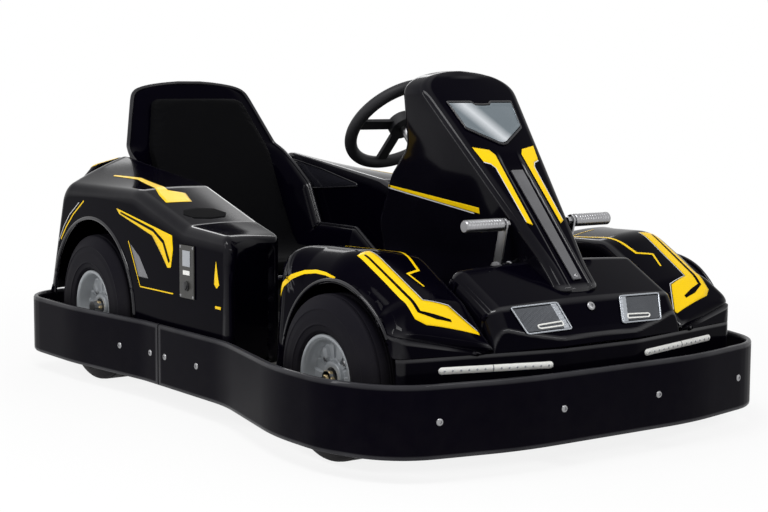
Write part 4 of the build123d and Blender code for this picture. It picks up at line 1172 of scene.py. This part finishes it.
# %% Shoulder panels
# Columns of y, and of height.
PANEL_UPPER = [392, 560, 690, 772], [470, 502, 521, 526]
PANEL_LOWER = [392, 537, 680, 772], [464, 452, 443, 438]
PANEL_SINK, PANEL_BULGE, PANEL_LIP_R = 0.6, 3.5, 2.2
panel_y = np.linspace(392, 772, 60)[:, None]
s = np.linspace(0, 1, 17)[None, :]
lower, upper = (np.interp(panel_y, *table) for table in (PANEL_LOWER, PANEL_UPPER))
bulge = PANEL_BULGE * np.sin(np.pi * s) * np.sin(np.pi * np.linspace(0, 1, 60))[:, None] ** 0.5
panel = np.stack([POD_IN_X - PANEL_SINK - bulge, panel_y + 0 * s, lower + s * (upper - lower)], axis=2)
pair("shoulder_panel", panel, "window_gloss", slot="body_black", inside=(400, 600, 480), wall=0.6)
panel_lip = even(border(panel), 240, closed=True)
pair("shoulder_lip", tube(panel_lip, PANEL_LIP_R, sides=8), "body_black", **LOOPED)
print("shoulder panel", panel.shape)

# %% [markdown]
# Wheel hardware: each rim has a brass nut on its hub and four lug bolts in the dish. The front nut stays
# with the knuckle, because the stub axle does not turn; the rear one turns with its axle.

# %% Wheel hardware
NUT = np.array([(0, 0.01), (0, 17), (7, 17), (9, 15), (9, 9), (12, 8), (13, 6), (13, 0.01)])
LUG_R, LUG_OUT, LUG = 46, 16.5, DOME * (1.2, 0.9)
lug_turn = np.radians([[45], [135], [225], [315]])
lug_ring = LUG_R * np.hstack([np.cos(lug_turn), np.sin(lug_turn)])
# Rows of name ending, centre, the nut's seat, the nut's body, the bolts' body.
for ending, centre, seat, body, turns in (
        ("front", FRONT_WHEEL, 469, "knuckle_left", "wheel_front_left"),
        ("rear", REAR_WHEEL, 443, "rear_axle_set", "rear_axle_set")):
    nut = spun(NUT, (seat, *centre[1:]), 6)
    pair("hub_nut_" + ending, nut, "brass", slot="steel", body=body, wrap=(False, True), crease=25)
    lugs = with_x(centre[0] + LUG_OUT, lug_ring + centre[1:])
    pair("lug_bolts_" + ending, studs(lugs, [(1.0, 0, 0)] * 4, LUG), "steel", body=turns, **TURNED)
print("lug bolts a wheel", len(lugs))

# %% [markdown]
# The seat pad is soft, so it is blown up rather than drawn. A copy of the plain CAD pad is drawn in a
# little, given an even skin by a voxel remesh and inflated as cloth with gravity off. The swelling is capped,
# so that the pad keeps to its seat, and the result is kept as a plain mesh.

# %% Seat pad
PAD_DRAW_IN, PAD_VOXEL, PAD_CAP, PAD_FRAMES, PAD_PRESSURE = 5, 6, 7, 20, 4


def baked(piece):
    """A mesh with the piece's modifiers worked in."""
    return bpy.data.meshes.new_from_object(piece.evaluated_get(bpy.context.evaluated_depsgraph_get()))


pad_mesh = frame["nodes"]["seat_pad"].data.copy()
shape = bmesh.new()
shape.from_mesh(pad_mesh)
bmesh.ops.remove_doubles(shape, verts=shape.verts, dist=1e-5)
shape.to_mesh(pad_mesh)
shape.free()
drawn_in = read_points(pad_mesh) - PAD_DRAW_IN * MM * read_points(pad_mesh, "normal")
pad_mesh.vertices.foreach_set("co", drawn_in.ravel())
pad = bpy.data.objects.new("seat_cushion", pad_mesh)
scene.collection.objects.link(pad)
even_skin = pad.modifiers.new("even_skin", "REMESH")
even_skin.mode, even_skin.voxel_size = "VOXEL", PAD_VOXEL * MM
pad.data = baked(pad)
pad.modifiers.clear()
flat_points = read_points(pad.data)
air = pad.modifiers.new("air", "CLOTH").settings
air.use_pressure, air.uniform_pressure_force = True, PAD_PRESSURE
air.effector_weights.gravity = 0
for step in range(1, PAD_FRAMES + 1):
    scene.frame_set(step)
moved = read_points(baked(pad)) - flat_points
pad.modifiers.clear()
scene.frame_set(1)
length = np.linalg.norm(moved, axis=1, keepdims=True)
flat_points += moved * np.minimum(1, PAD_CAP * MM / np.maximum(length, 1e-9))
pad.data.vertices.foreach_set("co", flat_points.ravel())
pad.data.polygons.foreach_set("use_smooth", np.ones(len(pad.data.polygons), bool))
pad.data.materials.clear()
pad.data.materials.append(finish["pad_black"])
smooth = pad.modifiers.new("smooth", "SUBSURF")
smooth.levels = smooth.render_levels = 1
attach(pad, "chassis")
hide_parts("seat_pad")
print("seat pad points", len(pad.data.vertices))

# %% [markdown]
# The stripes are printed films. A film is drawn flat in one view as two edges with matching corners, or as
# a line with a width, and a Shrinkwrap modifier then carries its grid straight onto the panel below, as a
# sign maker lays vinyl. The result is kept as a mesh and given a film's thickness.

# %% Stripes
FILM, FILM_LIFT, OVER_LIFT = 0.3, 0.7, 1.3
# Rows of how a drawn point becomes a place in each view, and the axis it is carried along.
VIEWS = {
    "top": (lambda a, b: (a, b, 900 + 0 * a), "z"),
    "side": (lambda a, b: (700 + 0 * a, a, b), "x"),
    "front": (lambda a, b: (a, -1000 + 0 * a, b), "y"),
}


def between_edges(first, second, steps=26, across=9):
    """A strip of points: even steps between matching corners of two edges, even shares across."""
    edges = [np.array(edge, float) for edge in (first, second)]
    knots = np.arange(len(edges[0]))
    where = np.linspace(0, knots[-1], steps * knots[-1] + 1)
    a, b = (read_at(edge, where, knots) for edge in edges)
    return a[:, None] + np.linspace(0, 1, across)[None, :, None] * (b - a)[:, None]


def stroke(line, width):
    """The two edges of a line with a width, which may change along it."""
    line = np.array(line, float)
    half = np.broadcast_to(np.asarray(width, float) / 2, len(line))[:, None] * inward(line)
    return line + half, line - half


def film(name, skin, view, panels, edges, lift=FILM_LIFT):
    """A film on a left panel and its mirror image on the right one, laid along the view's axis."""
    place, axis = VIEWS[view]
    flat = between_edges(*edges)
    sheet = np.stack(place(flat[..., 0], flat[..., 1]), axis=2)
    for piece, panel in zip(pair(name, sheet, skin, inside=(0, 0, 0)), panels):
        lay = piece.modifiers.new("lay", "SHRINKWRAP")
        lay.wrap_method, lay.wrap_mode = "PROJECT", "ABOVE_SURFACE"
        lay.target, lay.offset = panel, lift * MM
        setattr(lay, "use_project_" + axis, True)
        lay.use_positive_direction = lay.use_negative_direction = True
        laid = baked(piece)
        piece.modifiers.clear()
        piece.data = laid
        thick = piece.modifiers.new("film", "SOLIDIFY")
        thick.thickness, thick.offset = FILM * MM, -1


fairings, tails = [fairing, fairing], [tail, tail]
YELLOW, PALE, GREY, BLACK = "stripe_yellow", "stripe_pale", "stripe_grey", "body_black"
# Rows of name, finish, view, panels, edges, and the lift of a film that lies on another.
FILMS = [
    ("fender_stripe", YELLOW, "top", fenders, (
        [(371, -544), (358, -702), (304, -713), (266, -762)],
        [(408, -556), (398, -733), (380, -745), (268, -767)])),
    ("fender_trim", PALE, "top", fenders, stroke([(369, -544), (356, -701), (302, -711), (266, -758)], 1.6)),
    ("fender_gap", BLACK, "top", fenders, stroke(
        [(394, -562), (381, -722), (350, -733), (318, -741)], [5, 8, 9, 5]), OVER_LIFT),
    ("fender_line", YELLOW, "top", fenders, stroke(
        [(345, -425), (265, -435), (299, -611), (335, -625), (323, -662)], [3, 6, 7, 7, 4])),
    ("arch_line", YELLOW, "side", fenders, stroke(
        [(-345, 306), (-364, 328), (-398, 348), (-438, 361), (-478, 366), (-514, 365), (-546, 360)],
        [11, 11, 10, 8, 7, 6, 4])),
    ("pod_chevron", YELLOW, "side", pods, (
        [(378, 436), (101, 392), (97, 359), (108, 318)], [(363, 423), (197, 384), (158, 350), (124, 316)])),
    ("pod_gap", BLACK, "side", pods, stroke(
        [(356, 427), (190, 397), (142, 374), (115, 330)], [4, 7, 9, 9]), OVER_LIFT),
    ("pod_line", YELLOW, "side", pods, stroke([(317, 362), (259, 259), (98, 259)], 3)),
    ("pod_hatch", GREY, "side", pods, ([(307, 356), (266, 282)], [(262, 330), (218, 282)])),
    ("pod_arc", YELLOW, "side", pods, stroke([(556, 442), (617, 405), (660, 370), (692, 336)], 3.5)),
    ("pod_arc_pale", PALE, "side", pods, stroke([(584, 436), (640, 402), (676, 368), (706, 330)], 2)),
    ("pod_drop", YELLOW, "side", pods, (
        [(-96, 350), (-90, 318), (-88, 300), (-98, 292)],
        [(-97, 350), (-104, 318), (-110, 300), (-99, 292)])),
    ("pod_dash", YELLOW, "side", pods, stroke([(-92, 250), (-116, 250)], 6)),
    ("pod_top_stripe", YELLOW, "top", pods, (
        [(372, 561), (352, 454), (383, 262), (349, 239), (362, 184)],
        [(379, 556), (368, 444), (404, 290), (420, 236), (427, 190)])),
    ("fairing_stripe", YELLOW, "front", fairings, (
        [(84, 606), (45, 600), (36, 590), (38, 452)], [(75, 577), (60, 573), (53, 565), (50, 457)])),
    ("fairing_trim", PALE, "front", fairings, stroke([(75, 576), (60, 572), (53, 564), (50, 458)], 1.8)),
    ("fairing_line", YELLOW, "side", fairings, ([(-214, 513), (-529, 481)], [(-214, 508), (-529, 468)])),
    ("fairing_under", PALE, "side", fairings, stroke([(-214, 506), (-510, 468)], 2.4)),
    # A very dark film on the pod top stands for a recess: painted shade.
    ("pod_recess", "pad_black", "top", pods, (
        [(312, 112), (330, 86), (372, 78), (410, 86), (424, 112)],
        [(312, 113), (330, 138), (372, 146), (410, 138), (424, 113)])),
    ("tail_mark", YELLOW, "top", tails, stroke([(232, 822), (298, 822), (306, 836)], 7)),
]
for row in FILMS:
    film(*row)
print("films", 2 * len(FILMS))
